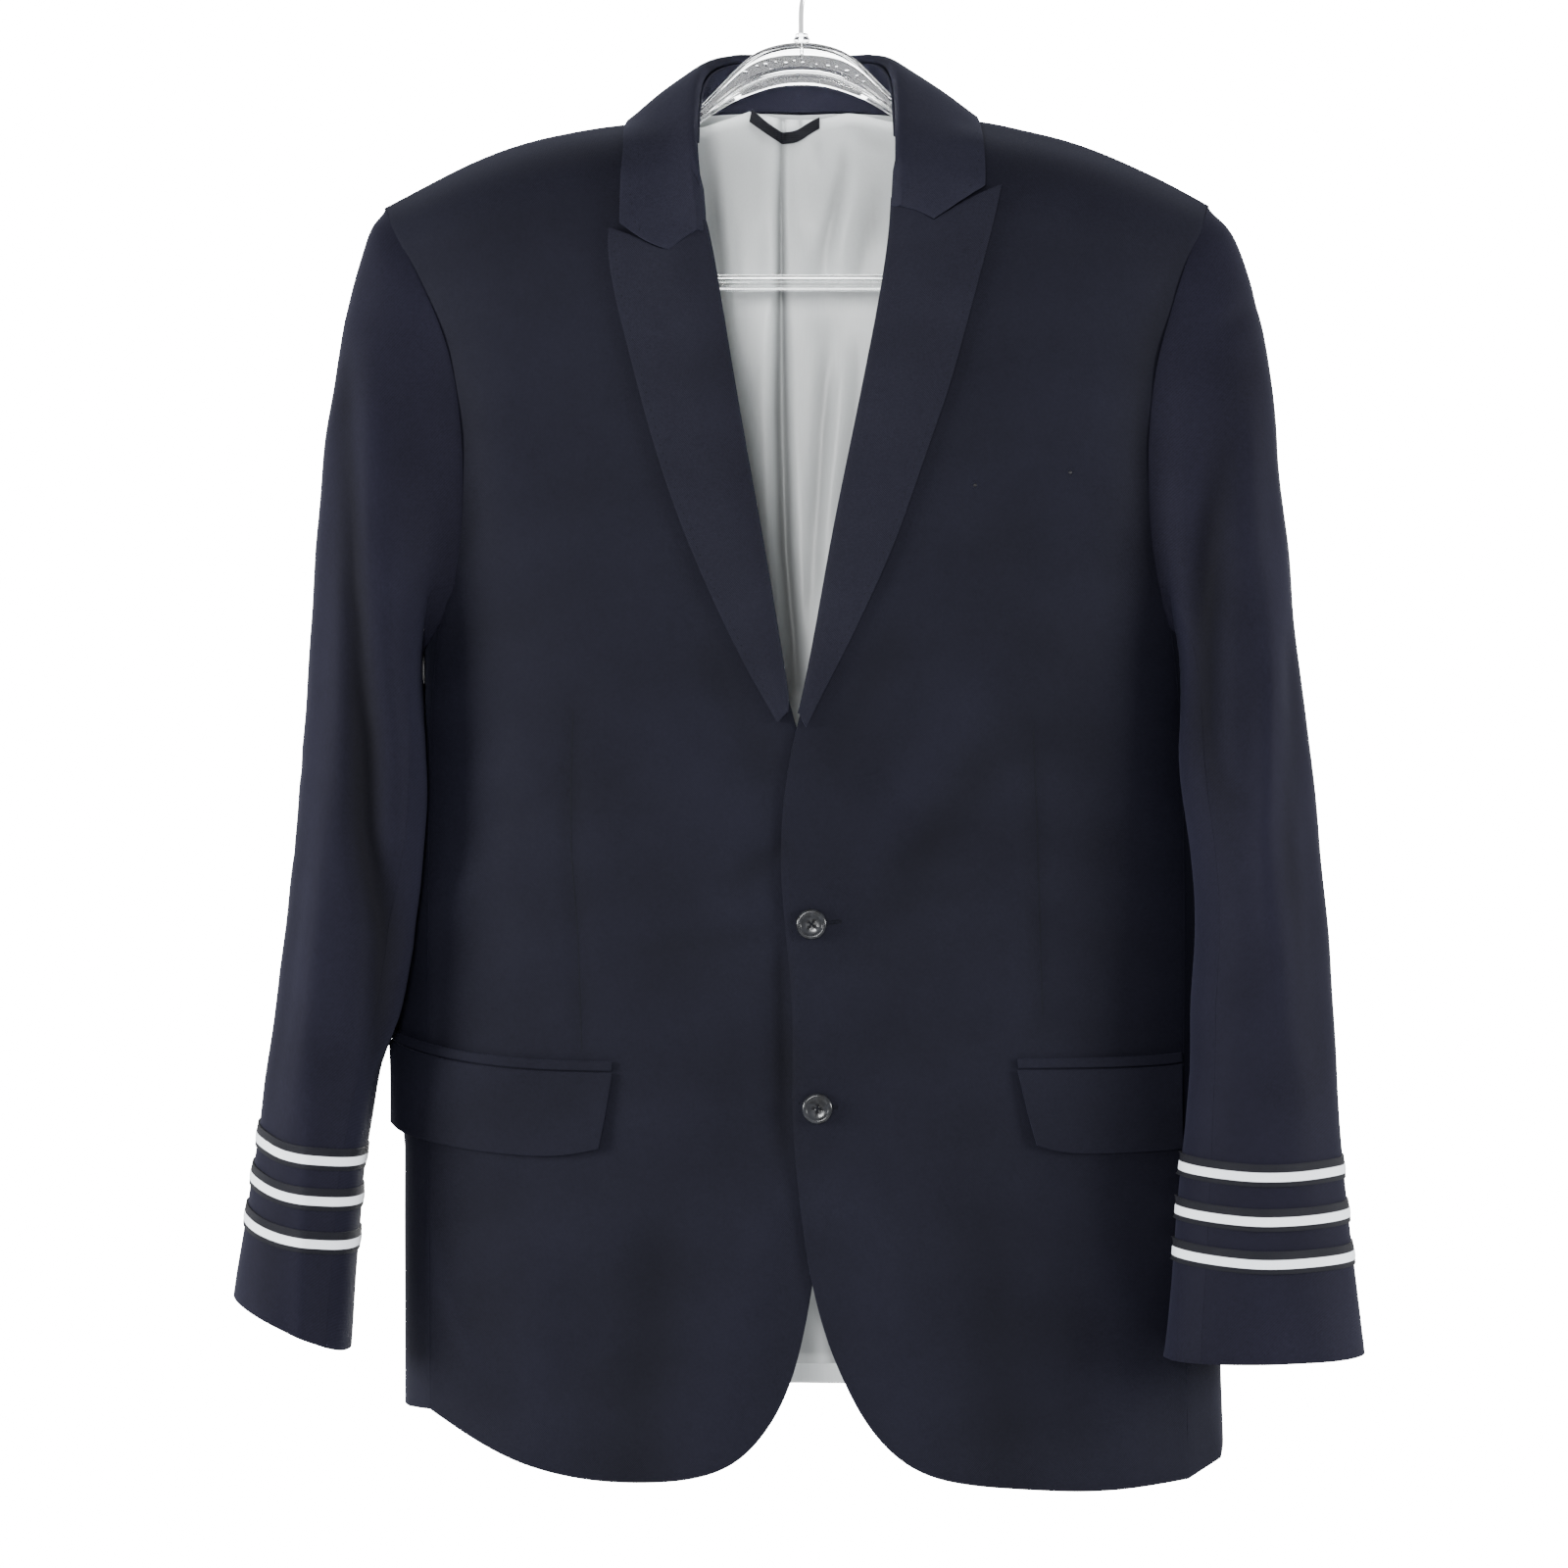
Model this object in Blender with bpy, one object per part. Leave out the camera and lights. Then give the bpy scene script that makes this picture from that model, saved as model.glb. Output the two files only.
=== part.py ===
# A pilot's two-button jacket with sleeve rank braid, hung on a clear suit hanger.
# Sizes in the tables are millimetres on the plane of the buttons, seen from the front;
# the function seen() carries them back along the line of sight to their own depth.
# The origin is the inside top of the hanger's hook, +Z is up and the front faces -Y.

import bpy
import bmesh
from math import acos, cos, pi, sin, sqrt, radians
from mathutils import Vector
from mathutils.bvhtree import BVHTree

MM = 0.001
EYE = Vector((-0.0101, -2.270, -0.515))
FRONT_PLANE = -0.070
CLOTH = 0.0015
GAP = 0.0003
BODY_POWER = 2.8
SHOULDER_ROUND = 0.070
LINING = 0.0011
BUTTON_DIAMETER = 0.0178
BUTTON_THICK = 0.0034
BRAID_WIDTH = 0.0127
BRAID_THICK = 0.0010
BAR_HEIGHT = 0.0105
HOOK_INSIDE = 0.019
HOOK_WIRE = 0.0016
RING = 22
SEAM = 9
BRAID_COLUMN = 5


def table(columns, rows):
    return [dict(zip(columns, row)) for row in rows]


# Height of the shoulder line at a distance from the centre.
ridgeRows = table(("across", "left", "right"), [
    (0, -88, -88),
    (40, -101, -101),
    (61.9, -114, -113),
    (76, -121.5, -119.5),
    (104.2, -123.6, -121.3),
    (133.3, -128.2, -127.8),
    (162.3, -134.4, -134.6),
    (191.5, -144.8, -146.6),
    (220.4, -159.6, -160.2),
    (246.6, -173.5, -174.9),
])

# Half width on each side and half depth of the hanging body, by height.
bodyRows = table(("z", "left", "right", "depth"), [
    (-950, 237, 254, 76),
    (-870, 236, 251, 75),
    (-715, 236, 245, 72),
    (-630, 232, 238, 71),
    (-515, 223, 230, 70),
    (-436, 223, 227, 73),
    (-330, 236, 239, 72),
    (-170, 264, 262, 66),
    (-80, 266, 266, 62),
])

# Fronts: inner edge (roll line, then front edge) and outer edge (armhole, then side seam).
frontRows = table(("inV", "inLeft", "inRight", "outV", "outLeft", "outRight"), [
    (-133.3, -70.1, 64.0, -184.5, -239.3, 234.2),
    (-139.0, -70.0, 64.0, -190.0, -237.4, 232.4),
    (-157.5, -65.6, 61.7, -207.5, -228.6, 224.1),
    (-191.3, -60.8, 58.6, -235.2, -215.1, 215.1),
    (-227.9, -51.4, 49.8, -265.6, -202.7, 206.1),
    (-262.8, -43.9, 42.7, -296.6, -197.0, 201.0),
    (-301.1, -37.1, 34.8, -332.0, -194.8, 199.3),
    (-340.5, -30.3, 26.4, -370.3, -195.9, 201.0),
    (-377.1, -23.6, 20.2, -401.3, -200.4, 206.1),
    (-424.9, -16.3, 11.8, -424.9, -208.3, 212.3),
    (-458.7, -10.6, 4.4, -458.7, -212.3, 216.8),
    (-488.0, -1.9, -3.9, -495.3, -213.9, 218.4),
    (-523.4, 6.6, -10.1, -531.9, -214.5, 219.6),
    (-562.9, 10.7, -12.1, -568.5, -214.5, 220.1),
    (-602.3, 11.8, -8.4, -605.1, -214.5, 220.1),
    (-641.7, 11.8, -3.9, -642.8, -214.5, 220.1),
    (-681.1, 11.3, -4.8, -681.1, -214.5, 219.6),
    (-720.5, 11.3, -4.2, -720.5, -214.5, 219.0),
    (-759.9, 10.7, 0.0, -759.9, -214.5, 219.6),
    (-796.5, 6.8, 5.1, -796.5, -213.9, 220.1),
    (-830.3, 1.1, 13.5, -833.1, -213.9, 221.3),
    (-861.2, -6.8, 22.5, -873.1, -213.4, 222.4),
])

# Hem of each front, from the cutaway corner to the side seam.
hemRows = table(("leftU", "leftV", "rightU", "rightV"), [
    (-6.8, -861.2, 22.5, -852.8),
    (-19.1, -885.5, 34.9, -879.3),
    (-37.2, -905.7, 51.8, -900.1),
    (-61.9, -914.7, 74.3, -914.2),
    (-94.6, -917.0, 108.1, -919.2),
    (-128.4, -914.4, 138.5, -920.4),
    (-162.1, -905.2, 167.8, -921.5),
    (-190.3, -890.0, 197.1, -918.1),
    (-213.4, -873.6, 222.4, -913.6),
])

# Back neck seam from the centre to the shoulder seam, true places.
neckRows = table(("x", "z"), [
    (0, -110),
    (30, -110.5),
    (56, -114.5),
])
BACK_HEM = -0.881

lapelLeft = table(("rollU", "rollV", "edgeU", "edgeV"), [
    (-57.4, -195.2, -110.3, -196.3),
    (-54.0, -205.4, -110.9, -208.7),
    (-50.1, -227.9, -107.0, -232.9),
    (-44.5, -261.7, -99.1, -263.9),
    (-39.4, -292.6, -91.8, -292.6),
    (-34.3, -320.8, -84.4, -319.1),
    (-29.3, -348.9, -74.9, -348.9),
    (-23.1, -382.7, -63.1, -379.9),
    (-18.0, -413.7, -49.0, -412.0),
    (-12.9, -442.9, -32.7, -445.8),
    (-8.8, -464.0, -20.5, -466.8),
    (-8.6, -473.0, -14.0, -479.0),
])
lapelRight = table(("rollU", "rollV", "edgeU", "edgeV"), [
    (54.0, -181.1, 114.3, -171.6),
    (52.9, -199.7, 109.8, -191.8),
    (49.0, -225.1, 100.8, -225.1),
    (43.9, -253.2, 92.3, -257.1),
    (38.3, -281.4, 85.0, -284.2),
    (32.7, -309.5, 76.0, -310.1),
    (26.5, -339.3, 65.9, -338.8),
    (19.7, -373.1, 53.5, -375.4),
    (14.1, -405.2, 38.8, -408.0),
    (7.9, -437.3, 24.8, -437.3),
    (2.4, -462.5, 11.6, -462.5),
    (-1.2, -474.0, 2.6, -482.0),
])

# Top of each lapel: from the roll line down the gorge, then up the peak.
peakRows = table(("leftU", "leftV", "rightU", "rightV"), [
    (-57.4, -195.2, 54.0, -181.1),
    (-67.0, -202.5, 64.7, -186.8),
    (-76.0, -209.9, 75.4, -193.0),
    (-85.0, -207.6, 87.8, -184.5),
    (-97.4, -200.8, 102.5, -176.1),
    (-110.3, -196.3, 114.3, -171.6),
])

# Fold line of the collar from the gorge to the centre of the back.
foldRows = table(("leftU", "leftV", "rightU", "rightV", "depth"), [
    (-58.9, -193.0, 55.8, -178.9, -71),
    (-60.6, -172.7, 57.0, -161.4, -69),
    (-62.9, -150.7, 57.4, -145.1, -62),
    (-63.2, -130.0, 57.2, -127.0, -43),
    (-61.2, -110.5, 55.8, -108.5, -15),
    (-54.6, -101.0, 51.5, -99.5, 10),
    (-41.1, -97.0, 42.2, -96.4, 34),
    (-21.4, -96.7, 22.5, -97.3, 48),
    (0.0, -97.3, 0.0, -97.3, 52),
])

# Outer edge of the collar, true places.
collarRows = table(("leftX", "leftZ", "rightX", "rightZ", "y"), [
    (-103.8, -192.4, 105.0, -169.8, -62),
    (-103.0, -178.0, 104.8, -158.4, -54),
    (-102.0, -158.0, 104.4, -146.0, -42),
    (-102.0, -140.5, 104.0, -134.5, -24),
    (-101.3, -122.5, 103.0, -119.8, 0),
    (-95.0, -118.5, 97.0, -116.5, 26),
    (-76.0, -119.0, 78.0, -118.0, 50),
    (-42.0, -120.0, 44.0, -120.0, 66),
    (0.0, -120.5, 0.0, -120.5, 72),
])

# Where the collar's seam with the gorge bends, between the fold and the outer edge.
gorgeRows = table(("leftU", "leftV", "rightU", "rightV"), [
    (-67.0, -201.0, 64.7, -184.8),
    (-76.0, -208.3, 75.4, -190.8),
    (-89.5, -203.6, 90.0, -180.2),
])

# Sleeves: outer and inner outline seen from the front, then front and back depth.
sleeveLeft = table(("outU", "outV", "inU", "inV", "front", "back"), [
    (-247.7, -191.8, -222.0, -445.2, -56, 52),
    (-252.5, -209.9, -221.0, -453.1, -60, 54),
    (-260.1, -236.3, -220.0, -461.0, -64, 54),
    (-266.3, -267.3, -219.0, -471.1, -67, 52),
    (-271.9, -303.9, -217.0, -484.0, -70, 50),
    (-274.7, -346.1, -215.0, -500.9, -72, 47),
    (-278.1, -396.8, -214.0, -523.4, -73, 44),
    (-280.9, -453.1, -216.0, -548.8, -74, 42),
    (-286.0, -506.6, -220.0, -574.1, -75, 40),
    (-291.6, -560.0, -226.0, -602.3, -76, 37),
    (-296.7, -605.1, -229.1, -633.2, -77, 34),
    (-302.3, -647.3, -233.1, -664.2, -78, 31),
    (-308.5, -689.5, -244.3, -694.0, -78, 28),
    (-313.6, -728.9, -251.1, -732.3, -78, 25),
    (-319.8, -768.3, -254.5, -774.0, -78, 22),
    (-325.4, -805.5, -258.5, -838.0, -78, 20),
])
sleeveRight = table(("outU", "outV", "inU", "inV", "front", "back"), [
    (246.0, -192.5, 220.0, -445.2, -56, 52),
    (253.8, -211.0, 219.0, -453.1, -61, 54),
    (261.0, -236.3, 218.0, -461.0, -66, 53),
    (268.0, -267.3, 217.0, -471.1, -70, 50),
    (271.5, -303.9, 216.0, -484.0, -74, 46),
    (274.0, -346.1, 215.5, -500.9, -78, 42),
    (278.7, -396.8, 218.0, -523.4, -82, 37),
    (287.1, -453.1, 222.0, -548.8, -86, 32),
    (292.8, -506.6, 226.0, -574.1, -90, 26),
    (298.4, -560.0, 227.5, -602.3, -93, 19),
    (302.9, -607.9, 222.9, -633.2, -96, 12),
    (305.7, -652.9, 220.1, -669.8, -99, 4),
    (308.0, -695.2, 217.9, -705.3, -102, -4),
    (310.8, -734.6, 215.6, -740.2, -105, -12),
    (315.8, -776.8, 212.8, -782.4, -108, -18),
    (323.7, -840.0, 207.7, -843.0, -110, -22),
])

# Soft folds of the sleeves: how far a column of the ring moves out, and where along it.
sleeveFolds = table(("column", "out", "first", "last"), [
    (3, -4.0, 2, 13),
    (5, 2.0, 2, 13),
    (17, -3.0, 3, 12),
])

# Rank braid: height of each band at the front of the sleeve, and its rise at either edge.
braidRows = table(("sleeve", "first", "second", "third", "outRise", "inRise"), [
    (-1, -729.1, -752.1, -776.4, 9.7, -2.0),
    (1, -740.3, -765.7, -789.9, 0.0, 6.5),
])

pocketRows = table(("side", "frontU", "topV", "frontLow", "bottomV", "backSkew", "lean"), [
    (-1, -108.7, -681.6, -116.5, -729.5, 20.5, 7.0),
    (1, 123.9, -679.9, 134.6, -727.3, 3.5, 10.0),
])

buttonRows = table(("u", "v"), [
    (5.6, -595.5),
    (9.0, -701.4),
])

# Arms of the hanger: centre line, half height and half width.
hangerRows = table(("x", "z", "half", "wide"), [
    (0, -88.0, 12.5, 7.0),
    (15, -89.5, 12.2, 7.0),
    (27, -93.0, 12.0, 7.0),
    (42, -103.0, 8.0, 6.5),
    (57, -116.0, 5.2, 6.0),
    (66, -124.0, 4.8, 6.0),
    (75, -129.4, 4.8, 7.0),
    (90, -133.6, 6.4, 9.0),
    (110, -139.5, 8.2, 11.0),
    (150, -152.2, 10.8, 14.5),
    (190, -169.9, 11.4, 16.5),
    (214, -181.3, 11.0, 16.5),
])
BAR_CENTRE = -0.218
BAR_HALF = 0.172
NECK_STEPS = 3


def blend(rows, key, column, value):
    # Cubic through the rows of a table that are sorted by one column.
    if value <= rows[0][key]:
        return rows[0][column]
    if value >= rows[-1][key]:
        return rows[-1][column]
    index = 0
    while rows[index + 1][key] < value:
        index += 1
    low = rows[index]
    high = rows[index + 1]
    span = high[key] - low[key]
    t = (value - low[key]) / span

    def slope(i):
        a = rows[max(i - 1, 0)]
        b = rows[min(i + 1, len(rows) - 1)]
        return (b[column] - a[column]) / (b[key] - a[key])

    first = slope(index) * span
    last = slope(index + 1) * span
    h = high[column]
    g = low[column]
    return (g * (2 * t ** 3 - 3 * t ** 2 + 1) + first * (t ** 3 - 2 * t ** 2 + t)
            + h * (3 * t ** 2 - 2 * t ** 3) + last * (t ** 3 - t ** 2))


def seen(u, v, y):
    # A place on the front plane, carried along the line of sight to the depth y.
    k = (y - EYE.y) / (FRONT_PLANE - EYE.y)
    return Vector((EYE.x + (u * MM - EYE.x) * k, y, EYE.z + (v * MM - EYE.z) * k))


def ridge_height(x):
    return blend(ridgeRows, "across", "left" if x < 0 else "right", abs(x) / MM) * MM


def half_sizes(x, z):
    wide = blend(bodyRows, "z", "left" if x < 0 else "right", z / MM) * MM
    deep = blend(bodyRows, "z", "depth", z / MM) * MM
    return wide, deep


def body_depth(x, z):
    # Half depth of the body at a place in the front view, rounded over the shoulder.
    wide, deep = half_sizes(x, z)
    part = min(abs(x) / wide, 0.999)
    depth = deep * (1 - part ** BODY_POWER) ** (1 / BODY_POWER)
    drop = (ridge_height(x) - z) / SHOULDER_ROUND
    if drop <= 0:
        return 0.0
    if drop < 1:
        depth *= sqrt(1 - (1 - drop) ** 2)
    return depth


def on_front(u, v, lift=0.0):
    y = FRONT_PLANE
    for _ in range(30):
        spot = seen(u, v, y)
        y = 0.5 * y - 0.5 * (body_depth(spot.x, spot.z) + lift)
    return seen(u, v, y)


def pair(side, left, right):
    return left if side < 0 else right


def grid_normals(grid, closed):
    rows = len(grid)
    columns = len(grid[0])
    normals = [[Vector() for _ in range(columns)] for _ in range(rows)]
    for i in range(rows - 1):
        for j in range(columns if closed else columns - 1):
            k = (j + 1) % columns
            a, b, c, d = grid[i][j], grid[i][k], grid[i + 1][k], grid[i + 1][j]
            face = (c - a).cross(d - b)
            for r, s in ((i, j), (i, k), (i + 1, k), (i + 1, j)):
                normals[r][s] += face
    return [[n.normalized() for n in row] for row in normals]


def key_of(point):
    return tuple(round(c / MM, 2) for c in point)


def shared_normals(panels):
    # Cut edges that meet get one direction, so their faces stay apart all through.
    found = {}
    for panel in panels:
        for row, directions in zip(panel["grid"], panel["normals"]):
            for point, direction in zip(row, directions):
                found.setdefault(key_of(point), []).append(direction)
    for panel in panels:
        for i, row in enumerate(panel["grid"]):
            for j, point in enumerate(row):
                own = panel["normals"][i][j]
                total = Vector()
                for other in found[key_of(point)]:
                    if own.dot(other) > 0.05:
                        total += other
                panel["normals"][i][j] = total.normalized()


def pull_in(panel, sides, half=0.65 * GAP):
    # Moves the cut edges back by half a gap each, within the panel.
    grid = panel["grid"]
    last = len(grid) - 1
    wide = len(grid[0]) - 1
    moved = [list(row) for row in grid]
    for i in range(last + 1):
        for j in range(wide + 1):
            shift = Vector()
            if "top" in sides and i == 0:
                shift += (grid[1][j] - grid[0][j]).normalized() * half
            if "bottom" in sides and i == last:
                shift += (grid[last - 1][j] - grid[last][j]).normalized() * half
            if "start" in sides and j == 0:
                shift += (grid[i][1] - grid[i][0]).normalized() * half
            if "end" in sides and j == wide:
                shift += (grid[i][wide - 1] - grid[i][wide]).normalized() * half
            moved[i][j] = grid[i][j] + shift
    panel["grid"] = moved


def material(name, colour, rough=0.8, metal=0.0, clear=0.0):
    made = bpy.data.materials.new(name)
    made.use_nodes = True
    shader = made.node_tree.nodes["Principled BSDF"]
    shader.inputs["Base Color"].default_value = (*colour, 1)
    shader.inputs["Roughness"].default_value = rough
    shader.inputs["Metallic"].default_value = metal
    shader.inputs["Transmission Weight"].default_value = clear
    return made


def wall(name, panel, thick, look, closed=False, inward=True):
    # A closed thin wall: the outer grid, its copy moved in by the thickness, and the rim.
    grid = panel["grid"]
    normals = panel["normals"]
    sign = -1 if inward else 1
    rows = len(grid)
    columns = len(grid[0])
    mesh = bmesh.new()
    outer = [[mesh.verts.new(p) for p in row] for row in grid]
    inner = []
    for row, directions in zip(grid, normals):
        inner.append([mesh.verts.new(p + n * thick * sign) for p, n in zip(row, directions)])
    span = columns if closed else columns - 1
    for i in range(rows - 1):
        for j in range(span):
            k = (j + 1) % columns
            mesh.faces.new((outer[i][j], outer[i][k], outer[i + 1][k], outer[i + 1][j]))
            mesh.faces.new((inner[i][j], inner[i + 1][j], inner[i + 1][k], inner[i][k]))
    for j in range(span):
        k = (j + 1) % columns
        mesh.faces.new((outer[0][k], outer[0][j], inner[0][j], inner[0][k]))
        mesh.faces.new((outer[-1][j], outer[-1][k], inner[-1][k], inner[-1][j]))
    if not closed:
        for i in range(rows - 1):
            mesh.faces.new((outer[i][0], outer[i + 1][0], inner[i + 1][0], inner[i][0]))
            mesh.faces.new((outer[i + 1][-1], outer[i][-1], inner[i][-1], inner[i + 1][-1]))
    return finish(name, mesh, look)


def finish(name, mesh, look):
    bmesh.ops.recalc_face_normals(mesh, faces=mesh.faces)
    if mesh.calc_volume(signed=True) < 0:
        bmesh.ops.reverse_faces(mesh, faces=mesh.faces)
    data = bpy.data.meshes.new(name)
    mesh.to_mesh(data)
    mesh.free()
    data.materials.append(look)
    made = bpy.data.objects.new(name, data)
    bpy.context.scene.collection.objects.link(made)
    return made


def tree_of(panels):
    verts = []
    faces = []
    for panel in panels:
        grid = panel["grid"]
        start = len(verts)
        wide = len(grid[0])
        for row in grid:
            verts.extend(row)
        for i in range(len(grid) - 1):
            for j in range(wide - 1):
                a = start + i * wide + j
                faces.append((a, a + 1, a + wide + 1))
                faces.append((a, a + wide + 1, a + wide))
    return BVHTree.FromPolygons(verts, faces), panels


def lift_off(point, tree, height, outward):
    # Moves a point out from the cloth under it until it stands that high above it.
    for _ in range(3):
        spot, normal, _, _ = tree.find_nearest(point)
        if normal.dot(outward(spot)) < 0:
            normal = -normal
        above = (point - spot).dot(normal)
        if above >= height:
            return point
        point = point + normal * (height - above)
    return point


def set_inside(point, tree, depth):
    # Moves a point in from the cloth round it until it lies that far inside.
    for _ in range(4):
        spot, normal, _, _ = tree.find_nearest(point)
        if normal.dot(away_from_middle(spot)) < 0:
            normal = -normal
        below = (spot - point).dot(normal)
        if below >= depth:
            return point
        point = point - normal * (depth - below)
    return point


def away_from_middle(spot):
    return Vector((spot.x * 0.35, spot.y, max(spot.z + 0.17, 0) * 0.8 + 0.0001))


def panel_of(grid, flip=False, closed=False):
    normals = grid_normals(grid, closed)
    if flip:
        normals = [[-n for n in row] for row in normals]
    return {"grid": grid, "normals": normals}


# Body panels.

def hem_point(side, index):
    row = hemRows[index]
    return row[pair(side, "leftU", "rightU")], row[pair(side, "leftV", "rightV")]


def ridge_points(side, steps):
    # The shoulder seam from the neck to the sleeve head.
    first = frontRows[0][pair(side, "inLeft", "inRight")] * 1.036
    last = frontRows[0][pair(side, "outLeft", "outRight")] * 1.0318
    points = []
    for j in range(steps + 1):
        x = (first + (last - first) * j / steps) * MM
        points.append(Vector((x, 0, ridge_height(x))))
    return points


def lap_lift(side, u, v):
    # The buttoned front lies over the other one in the middle.
    if side < 0:
        return 0.0
    near = 1 - min(max((u - 14) / 16, 0), 1)
    low = min(max((-v - 455) / 30, 0), 1)
    return 0.0024 * near * near * (3 - 2 * near) * low


def front_panel(side):
    steps = len(hemRows) - 1
    rows = len(frontRows) - 1
    inner = [(r[pair(side, "inLeft", "inRight")], r["inV"]) for r in frontRows]
    if side > 0:
        inner[-1] = hem_point(side, 0)
    outer = [(r[pair(side, "outLeft", "outRight")], r["outV"]) for r in frontRows]
    outer[-1] = hem_point(side, steps)
    seam = ridge_points(side, steps)
    top = []
    for point in seam:
        k = (0 - EYE.y) / (FRONT_PLANE - EYE.y)
        top.append(((EYE.x + (point.x - EYE.x) / k) / MM, (EYE.z + (point.z - EYE.z) / k) / MM))
    inner[0] = top[0]
    outer[0] = top[-1]
    grid = []
    for i in range(rows + 1):
        t = i / rows
        line = []
        for j in range(steps + 1):
            s = j / steps
            low = hem_point(side, j)
            spot = []
            for c in range(2):
                across = inner[i][c] * (1 - s) + outer[i][c] * s
                down = top[j][c] * (1 - t) + low[c] * t
                corner = ((inner[0][c] * (1 - s) + outer[0][c] * s) * (1 - t)
                          + (inner[-1][c] * (1 - s) + outer[-1][c] * s) * t)
                spot.append(across + down - corner)
            if i == 0:
                line.append(seam[j].copy())
            else:
                line.append(on_front(spot[0], spot[1], lap_lift(side, spot[0], spot[1])))
        grid.append(line)
    return grid


def arc_angle(point):
    wide, _ = half_sizes(point.x, point.z)
    return acos(min(abs(point.x) / wide, 1.0) ** (BODY_POWER / 2))


def side_point(side, z, angle):
    wide, deep = half_sizes(side, z)
    x = side * wide * abs(cos(angle)) ** (2 / BODY_POWER)
    y = deep * abs(sin(angle)) ** (2 / BODY_POWER)
    return Vector((x, -y if angle > 0 else y, z))


def side_panel(side, front):
    # Runs round the side from the front's seam to the back's, under the armhole.
    grid = []
    steps = RING - 2 * SEAM
    for i in range(SEAM, len(front)):
        start = front[i][-1]
        angle = arc_angle(start)
        t = (i - SEAM) / (len(front) - 1 - SEAM)
        line = []
        for j in range(steps + 1):
            s = j / steps
            dip = 0.011 * sin(pi * s) if i == SEAM else 0
            back_low = (BACK_HEM - start.z) * s * t ** 6
            line.append(side_point(side, start.z - dip + back_low, angle * (1 - 2 * s)))
        line[0] = start.copy()
        grid.append(line)
    return grid


def back_panel(side, front, sides):
    # Columns run from the centre back to the armhole and side seam.
    steps = NECK_STEPS + len(hemRows) - 1
    rows = len(front) - 1
    seam = ridge_points(side, len(hemRows) - 1)
    top = []
    for row in neckRows:
        top.append((side * row["x"] * MM, row["z"] * MM))
    top.extend((p.x, p.z) for p in seam)
    outer = []
    for i in range(rows + 1):
        if i < SEAM:
            outer.append((front[i][-1].x, front[i][-1].z))
        else:
            end = sides[i - SEAM][-1]
            outer.append((end.x, end.z))
    inner = []
    for i in range(rows + 1):
        t = (outer[i][1] - outer[0][1]) / (outer[-1][1] - outer[0][1])
        inner.append((0.0, top[0][1] * (1 - t) + BACK_HEM * t))
    low = []
    for j in range(steps + 1):
        s = j / steps
        low.append((outer[-1][0] * s, BACK_HEM + (outer[-1][1] - BACK_HEM) * s))
    grid = []
    for i in range(rows + 1):
        t = i / rows
        line = []
        for j in range(steps + 1):
            s = j / steps
            spot = []
            for c in range(2):
                across = inner[i][c] * (1 - s) + outer[i][c] * s
                down = top[j][c] * (1 - t) + low[j][c] * t
                corner = ((inner[0][c] * (1 - s) + outer[0][c] * s) * (1 - t)
                          + (inner[-1][c] * (1 - s) + outer[-1][c] * s) * t)
                spot.append(across + down - corner)
            x, z = spot
            line.append(Vector((x, body_depth(x, z), z)))
        grid.append(line)
    for j in range(len(seam)):
        grid[0][NECK_STEPS + j] = seam[j].copy()
    for i in range(rows + 1):
        if i < SEAM:
            spot = front[i][-1]
            grid[i][-1] = Vector((spot.x, -spot.y, spot.z))
        else:
            grid[i][-1] = sides[i - SEAM][-1].copy()
    return grid


def armhole(front, sides, back):
    # The loop of points that the sleeve is set into, from the shoulder forward and round.
    loop = [front[i][-1].copy() for i in range(SEAM)]
    loop.extend(p.copy() for p in sides[0])
    loop.extend(back[i][-1].copy() for i in range(SEAM - 1, 0, -1))
    return loop


# Sleeves.

def sleeve_ring(side, row, index):
    out = seen(row["outU"], row["outV"], 0.5 * (row["front"] + row["back"]) * MM)
    into = seen(row["inU"], row["inV"], 0.5 * (row["front"] + row["back"]) * MM)
    middle = (out + into) / 2
    half = (out - into) / 2
    deep = (row["back"] - row["front"]) / 2 * MM
    bow = 0.026 * max(0.0, 1 - index / 5.0) ** 1.5
    ring = []
    for k in range(RING):
        angle = 2 * pi * k / RING
        c = cos(angle)
        s = sin(angle)
        across = abs(c) ** 0.86 * (1 if c > 0 else -1)
        along = abs(s) ** 0.86 * (1 if s > 0 else -1)
        spot = middle + half * across + Vector((0, -deep * along, 0))
        spot.x -= side * bow * s * s
        outward = half.normalized() * c + Vector((0, -s, 0))
        for fold in sleeveFolds:
            if fold["column"] == k and fold["first"] <= index <= fold["last"]:
                fade = min(1, (index - fold["first"] + 1) / 5, (fold["last"] - index + 1) / 4)
                spot += outward * fold["out"] * fade * MM
        ring.append(spot)
    return ring


def sleeve_rings(side, loop, tree):
    rows = sleeveLeft if side < 0 else sleeveRight
    rings = [loop]
    for i, row in enumerate(rows):
        ring = sleeve_ring(side, row, i)
        clear = min(0.0012 + 0.0008 * i, 0.0082)
        for k in range(RING):
            # Only the side towards the body can meet it.
            if cos(2 * pi * k / RING) < -0.1 or i >= 6:
                ring[k] = lift_off(ring[k], tree, clear, away_from_middle)
        rings.append(ring)
    first = []
    for k, spot in enumerate(rings[0]):
        under = SEAM - 1 <= k <= RING - SEAM + 1
        way = (rings[1][k] - spot).normalized()
        out = Vector((side, 0, 0)) * 0.0016 if under else Vector()
        first.append(spot + way * GAP * 0.6 + out)
    rings[0] = first
    return rings


def place_at(rings, height, k):
    # The place along the sleeve where a column passes a height.
    index = len(rings) - 2
    while index > 0 and rings[index][k].z < height:
        index -= 1
    low = rings[index][k].z
    high = rings[index + 1][k].z
    return index + (height - low) / (high - low)


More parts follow.
